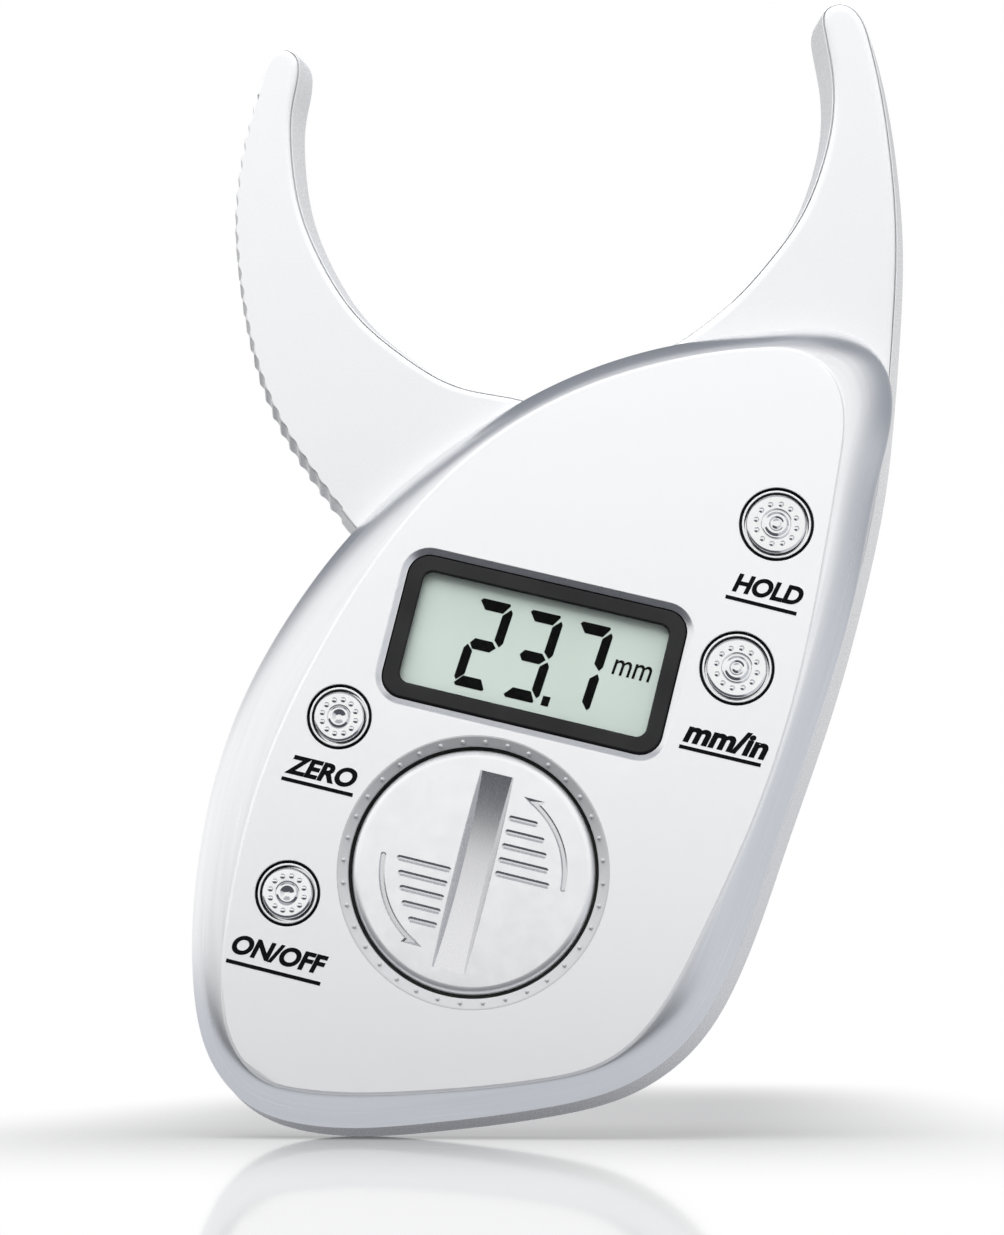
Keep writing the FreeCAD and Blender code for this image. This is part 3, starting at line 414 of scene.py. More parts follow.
class Form:
    """Closed solids in drawing millimetres, built from rings of points."""

    def __init__(self):
        self.mesh = bmesh.new()

    def ring(self, loop, height):
        heights = np.broadcast_to(height, len(loop))
        return [self.mesh.verts.new((x, y, z)) for (x, y), z in zip(loop, heights)]

    def join(self, first, second):
        for index in range(len(first)):
            self.mesh.faces.new((first[index - 1], first[index], second[index], second[index - 1]))

    def through(self, rings):
        for first, second in zip(rings, rings[1:]):
            self.join(first, second)

    def fill(self, *rings):
        """Flat face inside a ring, with the further rings as its holes."""
        edges = []
        for ring in rings:
            for index in range(len(ring)):
                pair = (ring[index - 1], ring[index])
                edges.append(self.mesh.edges.get(pair) or self.mesh.edges.new(pair))
        return bmesh.ops.triangle_fill(self.mesh, edges=edges, use_beauty=True)

    def stack(self, levels, filled=False, closed=False):
        """Surface through (loop, height) levels. Gives back the first and the last ring."""
        rings = [self.ring(loop, height) for loop, height in levels]
        self.through(rings + rings[:1] if closed else rings)
        if filled:
            self.fill(rings[0])
            self.fill(rings[-1])
        return rings[0], rings[-1]

    def hole(self, at, line, count):
        return self.stack([(circle(at, r, count), z) for r, z in softened(line)])

    def prism(self, loop, z0, z1, lower=None):
        """Solid between two heights over a loop, which may have another size at the lower height."""
        self.stack([(loop if lower is None else lower, z0), (loop, z1)], filled=True)

    def revolve(self, at, line, count, closed=False):
        """Solid of an (r, z) line turned round an upright axis. Ends on the axis become poles."""
        rings = []
        for r, z in line:
            if r < 1e-6:
                rings.append([self.mesh.verts.new((at[0], at[1], z))])
            else:
                rings.append(self.ring(circle(at, r, count), z))
        if closed:
            rings.append(rings[0])
        for first, second in zip(rings, rings[1:]):
            if len(first) == 1 or len(second) == 1:
                self.fan(first, second)
            else:
                self.join(first, second)

    def drum(self, at, radius, low, high, count):
        self.revolve(at, [(0, low), (radius, low), (radius, high), (0, high)], count)

    def fan(self, first, second):
        pole, ring = (first[0], second) if len(first) == 1 else (second[0], first)
        for index in range(len(ring)):
            self.mesh.faces.new((ring[index - 1], ring[index], pole))

    def finish(self, name):
        bmesh.ops.recalc_face_normals(self.mesh, faces=self.mesh.faces[:])
        mesh = bpy.data.meshes.new(name)
        self.mesh.to_mesh(mesh)
        self.mesh.free()
        return mesh


def place(mesh, name):
    made = bpy.data.objects.new(name, mesh)
    bpy.context.scene.collection.objects.link(made)
    return made


def evaluated(made):
    """Plain mesh of an object with its modifiers applied. The object itself is removed."""
    bpy.context.view_layer.update()
    graph = bpy.context.evaluated_depsgraph_get()
    mesh = bpy.data.meshes.new_from_object(made.evaluated_get(graph), depsgraph=graph)
    bpy.data.objects.remove(made)
    return mesh


def carved(mesh, tool, operation="DIFFERENCE"):
    """One mesh cut by another, or joined with it."""
    body = place(mesh, "body")
    cutter = place(tool, "cutter")
    modifier = body.modifiers.new("carve", "BOOLEAN")
    modifier.operation = operation
    modifier.solver = "EXACT"
    modifier.object = cutter
    result = evaluated(body)
    bpy.data.objects.remove(cutter)
    return result


def give_materials(mesh, materials):
    mesh.materials.clear()
    for material in materials:
        mesh.materials.append(material)


def piece(name, mesh, body, material, replaced=None, sharp=32.0):
    """Stand a mesh upright, shade it smoothly between its sharp edges and let it ride on its body."""
    mesh.transform(STAND)
    if not isinstance(material, list):
        give_materials(mesh, [material])
        mesh.polygons.foreach_set("material_index", [0] * len(mesh.polygons))
    mesh.shade_smooth()
    mesh.set_sharp_from_angle(angle=math.radians(sharp))
    draft = place(mesh, name + "_draft")
    modifier = draft.modifiers.new("even_shading", "WEIGHTED_NORMAL")
    modifier.keep_sharp = True
    finished = place(evaluated(draft), name)
    finished.data.name = name
    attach(finished, body)
    if replaced:
        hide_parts(replaced)


# Nodes and materials

WHITE = (1.0, 1.0, 1.0)
MIX_COLOURS = (6, 7)  # the mix node's two colour inputs
MIX_RESULT = 2  # and its colour output


class Nodes:
    """Adds nodes to a tree. An input is a value, an output, or a node, whose first output is meant."""

    def __init__(self, tree):
        self.tree = tree

    def add(self, kind, inputs=None, **settings):
        node = self.tree.nodes.new(kind)
        for key, value in settings.items():
            setattr(node, key, value)
        for socket, value in (inputs or {}).items():
            self.feed(node.inputs[socket], value)
        return node

    def feed(self, socket, value):
        if isinstance(value, bpy.types.Node):
            value = value.outputs[0]
        if isinstance(value, bpy.types.NodeSocket):
            self.tree.links.new(value, socket)
        else:
            socket.default_value = (*value, 1.0) if socket.type == "RGBA" else value

    def maths(self, operation, *inputs):
        return self.add("ShaderNodeMath", dict(enumerate(inputs)), operation=operation)

    def spread(self, source, low, high, start=0.3, end=0.7, way="LINEAR"):
        """Goes from low to high as the source goes from start to end, which for noise is 0.3 to 0.7."""
        inputs = {"Value": source, "From Min": start, "From Max": end, "To Min": low, "To Max": high}
        return self.add("ShaderNodeMapRange", inputs, interpolation_type=way)

    def step(self, source, start, end):
        return self.spread(source, 0.0, 1.0, start, end, "SMOOTHSTEP")

    def blend(self, share, first, second):
        """Mix of two colours."""
        inputs = {"Factor": share, MIX_COLOURS[0]: first, MIX_COLOURS[1]: second}
        return self.add("ShaderNodeMix", inputs, data_type="RGBA").outputs[MIX_RESULT]

    def shaders(self, share, first, second):
        """Mix of two shaders."""
        return self.add("ShaderNodeMixShader", {"Fac": share, 1: first, 2: second})

    def towards(self, direction, aim):
        """Cosine of the angle between a direction and the aim."""
        inputs = {0: direction, 1: Vector(aim).normalized()}
        return self.add("ShaderNodeVectorMath", inputs, operation="DOT_PRODUCT").outputs["Value"]

    def shown_rays(self):
        """1 for what the camera sees directly, mirrored or through glass, and 1 for directly only."""
        rays = self.add("ShaderNodeLightPath").outputs
        mirrored = self.maths("MAXIMUM", rays["Is Camera Ray"], rays["Is Glossy Ray"])
        return self.maths("MAXIMUM", mirrored, rays["Is Transmission Ray"]), rays["Is Camera Ray"]


class Finish(Nodes):
    """A Principled material whose colour, gloss and surface vary by patterns fixed to the piece."""

    def __init__(self, name, **sockets):
        self.material = bpy.data.materials.new(name)
        self.material.use_nodes = True
        super().__init__(self.material.node_tree)
        self.shader = self.tree.nodes["Principled BSDF"]
        for socket, value in sockets.items():
            self.shader.inputs[socket.replace("_", " ")].default_value = value

    def coordinates(self, stretch=(1, 1, 1), shift=(0, 0, 0), attribute=None):
        if attribute:
            source = self.add("ShaderNodeAttribute", attribute_name=attribute).outputs["Vector"]
        else:
            source = self.add("ShaderNodeTexCoord").outputs["Object"]
        return self.add("ShaderNodeMapping", {"Vector": source, "Location": shift, "Scale": stretch})

    def parts(self, **place_on):
        """X, Y and Z of the place on the piece."""
        return self.add("ShaderNodeSeparateXYZ", {0: self.coordinates(**place_on)}).outputs

    def noise(self, size, detail=3.0, **place_on):
        """Noise whose patches are about size millimetres across."""
        inputs = {"Vector": self.coordinates(**place_on), "Scale": 1000.0 / size, "Detail": detail}
        return self.add("ShaderNodeTexNoise", inputs).outputs["Fac"]

    def patches(self, size):
        return self.spread(self.noise(size), 0.0, 1.0)

    def colour(self, output):
        self.feed(self.shader.inputs["Base Color"], output)

    def tint(self, low, high, size):
        self.colour(self.blend(self.patches(size), low, high))

    def gloss(self, low, high, size):
        self.rough(self.spread(self.noise(size), low, high))

    def rough(self, output):
        self.feed(self.shader.inputs["Roughness"], output)

    def relief(self, source, depth):
        """Fine surface relief, depth in millimetres."""
        bump = self.add("ShaderNodeBump", {"Distance": depth / 1000.0, "Strength": 1.0, "Height": source})
        self.feed(self.shader.inputs["Normal"], bump)


def plain(name, tint, gloss, relief=None, **sockets):
    """Material with two tints and two roughnesses, each with the size of its patches, and a relief."""
    finish = Finish(name, **sockets)
    finish.tint(*tint)
    finish.gloss(*gloss)
    if relief:
        size, depth, *detail = relief
        finish.relief(finish.noise(size, *detail), depth)
    return finish.material


def inner(name, low, high, size, roughness, metallic=0.0):
    """Moulded, printed or drawn piece inside the housing."""
    gloss = (roughness - 0.06, roughness + 0.06, size / 2)
    return plain(name, (low, high, size), gloss, (size / 4, 0.004), Metallic=metallic)


def ink(name, colour, roughness):
    """Printed black, slightly uneven in its gloss."""
    lighter = tuple(value + 0.004 for value in colour)
    gloss = (roughness - 0.05, roughness + 0.05, 0.8)
    return plain(name, (colour, lighter, 0.6), gloss, IOR=1.45, Specular_IOR_Level=0.0)


def white_plastic():
    """Polished ABS of the back shell and the jaws."""
    return plain("white_plastic", ((0.876, 0.879, 0.889), (0.884, 0.887, 0.896), 0.15), (0.265, 0.28, 0.2),
                 (15.0, 0.001, 0.0), IOR=1.5, Specular_IOR_Level=0.4)


def silver_paint():
    """Satin metallic paint on the bevel, with faint streaks that run round the cover."""
    finish = Finish("silver_paint", Metallic=0.9, IOR=1.5, Coat_Weight=0.25, Coat_Roughness=0.12)
    streaks = finish.noise(1.0, detail=4.0, stretch=(0.04, 0.04, 3.0), attribute="grain")
    base = finish.blend(finish.patches(0.12), (0.92, 0.93, 0.945), (0.96, 0.965, 0.975))
    finish.colour(finish.blend(finish.spread(streaks, 0.0, 0.25), base, (0.8, 0.81, 0.84)))
    finish.rough(finish.spread(streaks, 0.27, 0.35))
    finish.relief(streaks, 0.002)
    return finish.material


def pearl_paint():
    """Pearl silver of the flat panel, finely flaked."""
    finish = Finish("pearl_paint", Metallic=0.4, IOR=1.5)
    base = finish.blend(finish.patches(0.1), (0.95, 0.955, 0.965), (0.985, 0.987, 0.992))
    finish.colour(finish.blend(finish.patches(35.0), base, (0.965, 0.969, 0.977)))
    finish.gloss(0.3, 0.38, 1.2)
    finish.relief(finish.noise(0.5), 0.0015)
    return finish.material


def collar_paint():
    """Greyer pearl paint of the dished collar and its dots."""
    return plain("collar_paint", ((0.63, 0.635, 0.65), (0.67, 0.675, 0.685), 0.12), (0.3, 0.38, 1.2),
                 (0.5, 0.0015), Metallic=0.4, IOR=1.5)


def pearl_disc():
    """Smoother pearl paint of the battery cover."""
    return plain("pearl_disc", ((0.91, 0.915, 0.928), (0.95, 0.954, 0.965), 0.12), (0.2, 0.27, 2.0),
                 (0.6, 0.0015), Metallic=0.65, IOR=1.5, Specular_IOR_Level=0.4)


def slot_metal():
    """Satin metal of the engraved slot, grip lines and arrows, finely drawn along the slot."""
    finish = Finish("slot_metal", Metallic=0.95)
    drawn = finish.noise(0.5, detail=4.0, stretch=(3.0, 3.0, 0.1))
    finish.colour(finish.blend(finish.spread(drawn, 0.0, 1.0), (0.785, 0.785, 0.8), (0.81, 0.81, 0.825)))
    finish.rough(finish.spread(drawn, 0.25, 0.28))
    finish.relief(drawn, 0.0003)
    return finish.material


def groove_dark():
    """Painted shade: near-black colour on the grooves round the buttons and the wall of the battery opening,
    where shade falls.
    """
    return plain("groove_dark", ((0.012, 0.012, 0.014), (0.03, 0.03, 0.033), 1.0), (0.5, 0.6, 0.8),
                 (0.3, 0.004), IOR=1.5, Specular_IOR_Level=0.2)


def black_gloss():
    """Polished black plastic of the display's frame."""
    return plain("black_gloss", ((0.012, 0.012, 0.013), (0.022, 0.022, 0.023), 9.0), (0.16, 0.24, 3.0),
                 (0.7, 0.002), IOR=1.5, Specular_IOR_Level=0.25)


def window_clear():
    """Clear moulded window: it shows as a thin gloss over the panel behind it."""
    return plain("window_clear", ((0.05, 0.06, 0.055), (0.08, 0.09, 0.085), 14.0), (0.02, 0.05, 5.0),
                 IOR=1.49, Alpha=0.015, Specular_IOR_Level=0.3)


def lcd_face():
    """Grey-green liquid-crystal panel."""
    return plain("lcd_face", ((0.68, 0.79, 0.72), (0.74, 0.84, 0.78), 16.0), (0.32, 0.42, 2.0),
                 (0.25, 0.001), IOR=1.5, Specular_IOR_Level=0.3)


def chrome_plate():
    """Bright plating on the button caps."""
    return plain("chrome_plate", ((0.86, 0.86, 0.87), (0.91, 0.91, 0.92), 1.5), (0.1, 0.16, 0.9),
                 (0.3, 0.001), Metallic=0.95, IOR=1.6)


def black_rubber():
    """Matt rubber of the battery cover's seal."""
    return plain("black_rubber", ((0.006, 0.006, 0.006), (0.014, 0.014, 0.014), 1.2), (0.5, 0.65, 0.8),
                 (0.2, 0.006), IOR=1.5, Specular_IOR_Level=0.3)


def plain_steel():
    """Zinc-plated steel with fine turning marks."""
    return plain("plain_steel", ((0.5, 0.51, 0.53), (0.62, 0.63, 0.64), 0.8), (0.28, 0.42, 0.5),
                 (0.15, 0.003), Metallic=1.0)


def board_laminate():
    """Green solder mask over copper tracks that show as lighter lines."""
    finish = Finish("board_laminate", Coat_Weight=0.3, Coat_Roughness=0.1)
    inputs = {"Vector": finish.coordinates(), "Scale": 260.0, "Distortion": 2.5}
    tracks = finish.add("ShaderNodeTexWave", inputs).outputs["Fac"]
    lines = finish.spread(tracks, 0.0, 1.0, 0.8, 0.9)
    finish.colour(finish.blend(lines, (0.015, 0.12, 0.05), (0.04, 0.24, 0.1)))
    finish.gloss(0.35, 0.45, 2.0)
    finish.relief(lines, 0.02)
    return finish.material


# Pieces of the housing


def rounded_foot(radius, bottom, top, steps=6):
    """(height, reach) levels of a rounded lower edge under a drafted side."""
    levels = []
    for step in range(steps + 1):
        angle = math.radians(90 * step / steps)
        z = bottom + radius * (1 - math.cos(angle))
        levels.append((z, flare(z, top) - radius * (1 - math.sin(angle))))
    return levels


def seam_levels(top, drop, width):
    """Fine groove between a drafted side and the rounded edge above it, open to the front."""
    ledge = top - drop - SEAM_LEDGE
    out = flare(ledge, top)
    inside = out - SEAM_INSET
    return [
        (ledge - 0.1, flare(ledge - 0.1, top)), (ledge, out - 0.08), (ledge - 0.02, out - 0.12),
        (ledge - SEAM_DEPTH, inside - 0.3 * width), (ledge - SEAM_DEPTH, inside - 0.7 * width),
        (ledge + SEAM_LEDGE, inside - width),
    ]


def rounded_brow(top, border, drop, start, steps=7):
    """(height, reach) levels of a wide, rounded upper edge that starts at a reach."""
    levels = []
    for step in range(1, steps + 1):
        angle = math.radians(90 * step / steps)
        levels.append((top - drop * (1 - math.sin(angle)), start - border * (1 - math.cos(angle))))
    return levels


def slab(name, outline, places, levels):
    """Closed plate through levels of (height, reach beyond the outline)."""
    form = Form()
    position, outward = outline.at(places)
    loops = []
    for height, reach in levels:
        loops.append((position + outward * np.broadcast_to(reach, len(places))[:, None], height))
    form.stack(loops, filled=True)
    return form.finish(name)


def shell_body():
    """Outside of the back shell with the fixed jaw, before it is hollowed."""
    outline = Outline(HOUSING_SIDE + FIXED_JAW)
    places = outline.all_round()
    first, last = len(HOUSING_SIDE), len(outline.points)
    grows = smooth(places, first + BORDER_GROWS[0], first + BORDER_GROWS[1])
    on_jaw = grows - smooth(places, last + BORDER_SHRINKS[0], last + BORDER_SHRINKS[1])
    drop = between(BORDER_DROP, on_jaw)
    levels = rounded_foot(BACK_EDGE, 0.0, PART_Z)
    levels += seam_levels(PART_Z, drop, SEAM_WIDTH * on_jaw)
    levels += rounded_brow(PART_Z, between(BORDER, on_jaw), drop, levels[-1][1])
    return slab("shell", outline, places, levels)


def shell_cutters():
    """Cavity, jaw slot and screw holes of the back shell, each as a solid to cut away."""
    outline = Outline(HOUSING_SIDE + COVER_TOP)
    low = WALL - flare(FLOOR, PART_Z)
    cavity = slab("cavity", outline, outline.all_round(), [(FLOOR, -low), (PART_Z + 1, -WALL)])
    slot = Form()
    angles = np.radians(np.linspace(*SLOT_ARC, 40))
    arc = np.stack([np.cos(angles), np.sin(angles)], axis=1)
    slot.prism(np.concatenate([arc * SLOT_REACH, arc[::-1] * HUB_RADIUS]), *SLOT_Z)
    holes = Form()
    head = SCREW_HEAD_RADIUS + SCREW_ROOM
    head_z = SCREW_SUNK + SCREW_HEAD_HEIGHT
    shaft = SCREW_RADIUS + SCREW_ROOM
    wide = head + SCREW_CHAMFER
    line = [
        (0, -1), (wide, -1), (wide, 0), (head, SCREW_CHAMFER), (head, head_z),
        (shaft, head_z), (shaft, SCREW_HOLE_TOP), (0, SCREW_HOLE_TOP),
    ]
    for at in HOUSING_SCREWS:
        holes.revolve(at, line, 48)
    return cavity, slot.finish("slot"), holes.finish("holes")


def back_shell(material):
    cavity, slot, holes = shell_cutters()
    mesh = carved(carved(shell_body(), cavity), slot)
    posts = Form()
    base = FLOOR - 0.5
    for at in HOUSING_SCREWS:
        posts.drum(at, POST_RADIUS, base, PART_Z - POST_GAP, 40)
    foot, foot_z, radius, top = JOURNAL
    line = [(0, base), (foot, base), (foot, foot_z), (radius, foot_z), (radius, top), (0, top)]
    posts.revolve((0, 0), line, 48)
    mesh = carved(carved(mesh, posts.finish("posts"), "UNION"), holes)
    piece("back_shell", mesh, "housing", material, "back_shell")


def moving_jaw(material):
    """Thumb jaw: smooth inside, scalloped outside, on a hub that lies in the housing."""
    outline = Outline(MOVING_JAW)
    first = outline.nearest(SERRATION_FROM)
    last = outline.nearest(SERRATION_TO)
    ends = outline.lengths(first, last)
    length = ends[1][-1]
    margin = SERRATION_MARGIN * SERRATION_PITCH * (last - first) / length
    start, end = first - margin, last + margin
    places = np.concatenate([
        outline.spaced(0, start, SPACING),
        outline.spaced(start, end, SERRATION_SPACING),
        outline.spaced(end, len(outline.points), SPACING),
    ])
    pitch = length / (int(length / SERRATION_PITCH) - 1)
    off = np.abs((np.interp(places, *ends) + pitch / 2) % pitch - pitch / 2)
    deep = np.sqrt(np.maximum(SERRATION_RADIUS**2 - off**2, 0)) - (SERRATION_RADIUS - SERRATION_DEPTH)
    scallop = np.where((places > start) & (places < end), np.maximum(deep, 0), 0)
    inside = 1 - smooth(places, *JAW_INSIDE[:2]) + smooth(places, *JAW_INSIDE[2:])
    border = JAW_BORDER[0] + JAW_BORDER[1] * inside
    drop = JAW_DROP[0] + JAW_DROP[1] * inside
    sides = rounded_foot(JAW_EDGE, JAW_Z, JAW_TOP)
    sides += seam_levels(JAW_TOP, drop, SEAM_WIDTH * inside)
    sides += rounded_brow(JAW_TOP, border, drop, sides[-1][1])
    levels = [(z, np.minimum(reach, flare(z, JAW_TOP) - scallop)) for z, reach in sides]
    mesh = slab("jaw", outline, places, levels)
    hub = Form()
    hub.drum((0, 0), HUB_RADIUS, JAW_Z + HAIR, JAW_TOP - HAIR, 96)
    bore = Form()
    bore.drum((0, 0), BUSH_RADIUS, 0, 14, 64)
    mesh = carved(carved(mesh, hub.finish("hub"), "UNION"), bore.finish("bore"))
    piece("moving_jaw", mesh, "jaw", material, "moving_jaw", sharp=24.0)


def bevel_rings(form, low, high, base, top):
    """Rings over the cover's rounded bevel, from the rim to the edge of the panel."""
    rings = []
    for step in range(BEVEL_STEPS + 1):
        angle = math.radians(90 * step / BEVEL_STEPS)
        inwards = 1 - math.cos(angle) ** BEVEL_ROUND
        rings.append(form.ring(low + (high - low) * inwards, base + (top - base) * math.sin(angle)))
    return rings


def cap_hole(form, at, radius):
    """Groove, raised land and hole round a button: the ring at the panel and the one inside the cover."""
    out = radius + GROOVE_OUT
    land_in, land_out = radius + LAND[0], radius + LAND[1]
    low = PANEL_Z - GROOVE_DROP
    return form.hole(at, [
        (out + 0.1, PANEL_Z, 0), (out, PANEL_Z - 0.08, 0.05), (out - 0.08, low, 0.04),
        (land_out + 0.02, low, 0.04), (land_out, PANEL_Z, 0.1), (land_in, PANEL_Z, 0.08),
        (land_in - 0.02, PANEL_Z - COVER_WALL, 0),
    ], 72)


def display_hole(form):
    """Sloping recess and upright sides of the display's opening."""
    line = [(reach, PANEL_Z - depth) for reach, depth in RECESS_LINE]
    return form.stack(display_rings(BEZEL_SIZE, line, lambda reach: BEZEL_CORNER + reach))


def battery_hole(form):
    out = COLLAR_RADIUS + 0.02
    inside = TRAY_RADIUS + TRAY_ROOM
    seat = COLLAR_Z - 0.1
    line = [(out, PANEL_Z, 0), (out, seat, 0), (inside, seat, 0), (inside, PANEL_Z - COVER_WALL, 0)]
    return form.hole(BATTERY_AT, line, 128)


def store_grain(mesh, low, high, places, lengths):
    """Distance round the cover and across its bevel, for streaks that follow the bevel."""
    around = lengths[1][-1] / (2 * math.pi)
    turns = np.interp(places, *lengths) / around
    middle = (low + high) / 2
    grain = np.zeros((len(mesh.vertices), 3))
    for index, vertex in enumerate(mesh.vertices):
        point = np.array(vertex.co)[:2]
        nearest = np.sum((middle - point) ** 2, axis=1).argmin()
        across = np.linalg.norm(point - low[nearest])
        grain[index] = (math.cos(turns[nearest]) * around, math.sin(turns[nearest]) * around, across)
    layer = mesh.attributes.new("grain", "FLOAT_VECTOR", "POINT")
    layer.data.foreach_set("vector", (grain / 1000.0).ravel())


def front_cover(bevel_paint, panel_paint, groove_shade):
    """Cover with a wide rounded bevel, a small step and a flat panel with its openings."""
    form = Form()
    rim_line = Outline(HOUSING_SIDE + COVER_TOP)
    places = rim_line.all_round()
    low, low_out = rim_line.at(places)
    high, high_out = Outline(PANEL).at(places)
    step_top = PANEL_Z - STEP_DROP
    outer = [form.ring(low - low_out * RIM_CHAMFER, PART_Z), form.ring(low, PART_Z + RIM_CHAMFER)]
    outer += bevel_rings(form, low, high + high_out * STEP_WIDTH, RIM_TOP, step_top)
    for reach, depth in STEP_LINE:
        outer.append(form.ring(high + high_out * reach, PANEL_Z - depth))
    form.through(outer)
    inner_low = low - low_out * WALL
    inner_high = high - high_out * COVER_WALL / 2
    inside = bevel_rings(form, inner_low, inner_high, RIM_TOP - 0.2, PANEL_Z - COVER_WALL)
    inside.insert(0, form.ring(inner_low, PART_Z))
    form.through(inside)
    form.join(inside[0], outer[0])
    openings = [display_hole(form), battery_hole(form)]
    openings += [cap_hole(form, at, radius) for name, at, radius, *middle in BUTTONS]
    panel = set(form.fill(outer[-1], *[hole[0] for hole in openings])["geom"])
    form.fill(inside[-1], *[hole[1] for hole in openings])
    for face in form.mesh.faces:
        middle = face.calc_center_median()
        # Faces more than PAINT_DEPTH below the panel, at the buttons and the battery opening, get the
        # near-black painted shade; the upper edge keeps the pearl paint.
        if middle.z > PANEL_Z - COVER_WALL + HAIR and near_opening(middle):
            face.material_index = 1 if middle.z > PANEL_Z - PAINT_DEPTH else 2
        elif face in panel or middle.z > step_top + HAIR and not near_display(middle):
            face.material_index = 1
    mesh = form.finish("front_cover")
    store_grain(mesh, low, high, places, rim_line.lengths(0, len(rim_line.points)))
    paints = [bevel_paint, panel_paint, groove_shade]
    for paint in paints:
        mesh.materials.append(paint)
    piece("front_cover", mesh, "housing", paints, "front_cover")


def near_display(point):
    reach = RECESS_WIDTH + 0.2
    return all(abs(point[i] - DISPLAY_AT[i]) < BEZEL_SIZE[i] / 2 + reach for i in (0, 1))


def near_opening(point):
    """Whether a point lies at the battery compartment or a button."""
    places = [(BATTERY_AT, COLLAR_RADIUS + 0.3)]
    places += [(at, radius + GROOVE_OUT + 0.2) for name, at, radius, *middle in BUTTONS]
    return any(math.dist(point[:2], at) < reach for at, reach in places)


# Display


def display_bezel(material):
    """Black frame: outer side, rounded top, sloping inner edge down to the window."""
    form = Form()
    section = softened([
        (0.0, BEZEL_BASE, 0), (0.0, BEZEL_TOP, 0.35), (0.2 - BEZEL_WIDTH, BEZEL_TOP, 0.2),
        (-BEZEL_WIDTH, WINDOW_Z[1], 0), (-BEZEL_SEAT, WINDOW_Z[1], 0), (-BEZEL_SEAT, BEZEL_BASE, 0),
    ])

    def corner(reach):
        return max(BEZEL_CORNER + reach * (BEZEL_CORNER - VIEW_CORNER) / BEZEL_WIDTH, 0.3)

    form.stack(display_rings(BEZEL_SIZE, section, corner), closed=True)
    mesh = form.finish("display_bezel")
    piece("display_bezel", mesh, "housing", material, "display_bezel")


def display_window(material):
    form = Form()
    low, high = WINDOW_Z
    line = [(-0.12, low), (0.0, low + 0.12), (0.0, high - 0.14), (-0.12, high - 0.02)]
    form.stack(display_rings(GLASS_SIZE, line, lambda reach: GLASS_CORNER), filled=True)
    mesh = form.finish("display_window")
    piece("display_window", mesh, "housing", material, "display_window")


def digit_segments():
    """The seven bars of a digit as loops in its upright cell, from 0 to DIGIT_WIDTH across."""
    base, top, wide = DIGIT_BASE, DIGIT_TOP, DIGIT_WIDTH
    middle = (base + top) / 2 - 0.15
    half = DIGIT_BAR / 2
    low = top - DIGIT_BAR
    upper = [(0.25, top - 0.4), (1.35, low), (4.25, low), (5.1, top - 0.3), (4.95, top), (0.6, top)]
    centre = [
        (0.7, middle), (1.3, middle - half), (4.1, middle - half), (4.9, middle),
        (4.1, middle + half), (1.3, middle + half),
    ]
    right = [
        (4.28, middle + 1.2), (5.3, middle + 0.25), (wide, middle + 0.95),
        (wide, top - 1.35), (5.36, top - 0.85), (4.28, top - 2.05),
    ]

    def over(loop):
        return [(x, base + top - y) for x, y in loop][::-1]

    def across(loop):
        return [(wide - x, y) for x, y in loop][::-1]

    low_right = over([(x, y + 0.3 if y < top - 3 else y) for x, y in right])
    return {
        "top": upper, "middle": centre, "bottom": over(upper), "top_right": right,
        "bottom_right": low_right, "top_left": across(right), "bottom_left": across(low_right),
    }


def slanted(loop, left):
    """Lean a loop of a digit's cell and put the cell at its place on the panel."""
    middle = (DIGIT_BASE + DIGIT_TOP) / 2
    return np.array([(left + x + (y - middle) * DIGIT_SLANT, y) for x, y in loop])


def lcd_digits(material):
    """Reading of 23.7 in seven-segment digits."""
    form = Form()
    low = LCD_Z[1] + INK_LIFT
    high = low + INK_THICKNESS
    segments = digit_segments()
    for number, bars in enumerate(DIGITS):
        left = DIGIT_RIGHT - DIGIT_WIDTH + number * DIGIT_PITCH
        for bar in bars:
            form.prism(slanted(segments[bar], left), low, high)
    left, right, height, gap = POINT
    top = DIGIT_BASE + height
    point = [(left, DIGIT_BASE), (right, DIGIT_BASE), (right, top), (left, top)]
    form.prism(slanted(point, DIGIT_RIGHT + DIGIT_PITCH + gap), low, high)
    piece("lcd_digits", form.finish("lcd_digits"), "housing", material)


# Printing


def lettering(text, low, high, z, slant, weight):
    """Mesh of a word that fills the box between two corners, leaning to the right."""
    curve = bpy.data.curves.new(text, "FONT")
    curve.body = text
    curve.size = LETTER_SIZE
    curve.offset = weight
    curve.resolution_u = 6
    mesh = evaluated(place(curve, "word"))
    flat = np.array([vertex.co[:2] for vertex in mesh.vertices])
    flat[:, 0] += flat[:, 1] * math.tan(math.radians(slant))
    least, most = flat.min(axis=0), flat.max(axis=0)
    flat = (flat - least) / (most - least) * (np.array(high) - np.array(low)) + np.array(low)
    shape = bmesh.new()
    shape.from_mesh(mesh)
    for vertex, (x, y) in zip(shape.verts, flat):
        vertex.co = (x, y, z)
    bmesh.ops.remove_doubles(shape, verts=shape.verts[:], dist=0.002)
    made = bmesh.ops.extrude_face_region(shape, geom=shape.faces[:])
    lifted = [item for item in made["geom"] if isinstance(item, bmesh.types.BMVert)]
    bmesh.ops.translate(shape, verts=lifted, vec=(0, 0, INK_THICKNESS))
    bmesh.ops.recalc_face_normals(shape, faces=shape.faces[:])
    shape.to_mesh(mesh)
    shape.free()
    return mesh


def underline(start, end, width, z):
    form = Form()
    start, end = np.array(start), np.array(end)
    across = np.array([start[1] - end[1], end[0] - start[0]])
    across = across / np.linalg.norm(across) * width / 2
    form.prism(np.array([start - across, end - across, end + across, start + across]), z, z + INK_THICKNESS)
    return form.finish("underline")


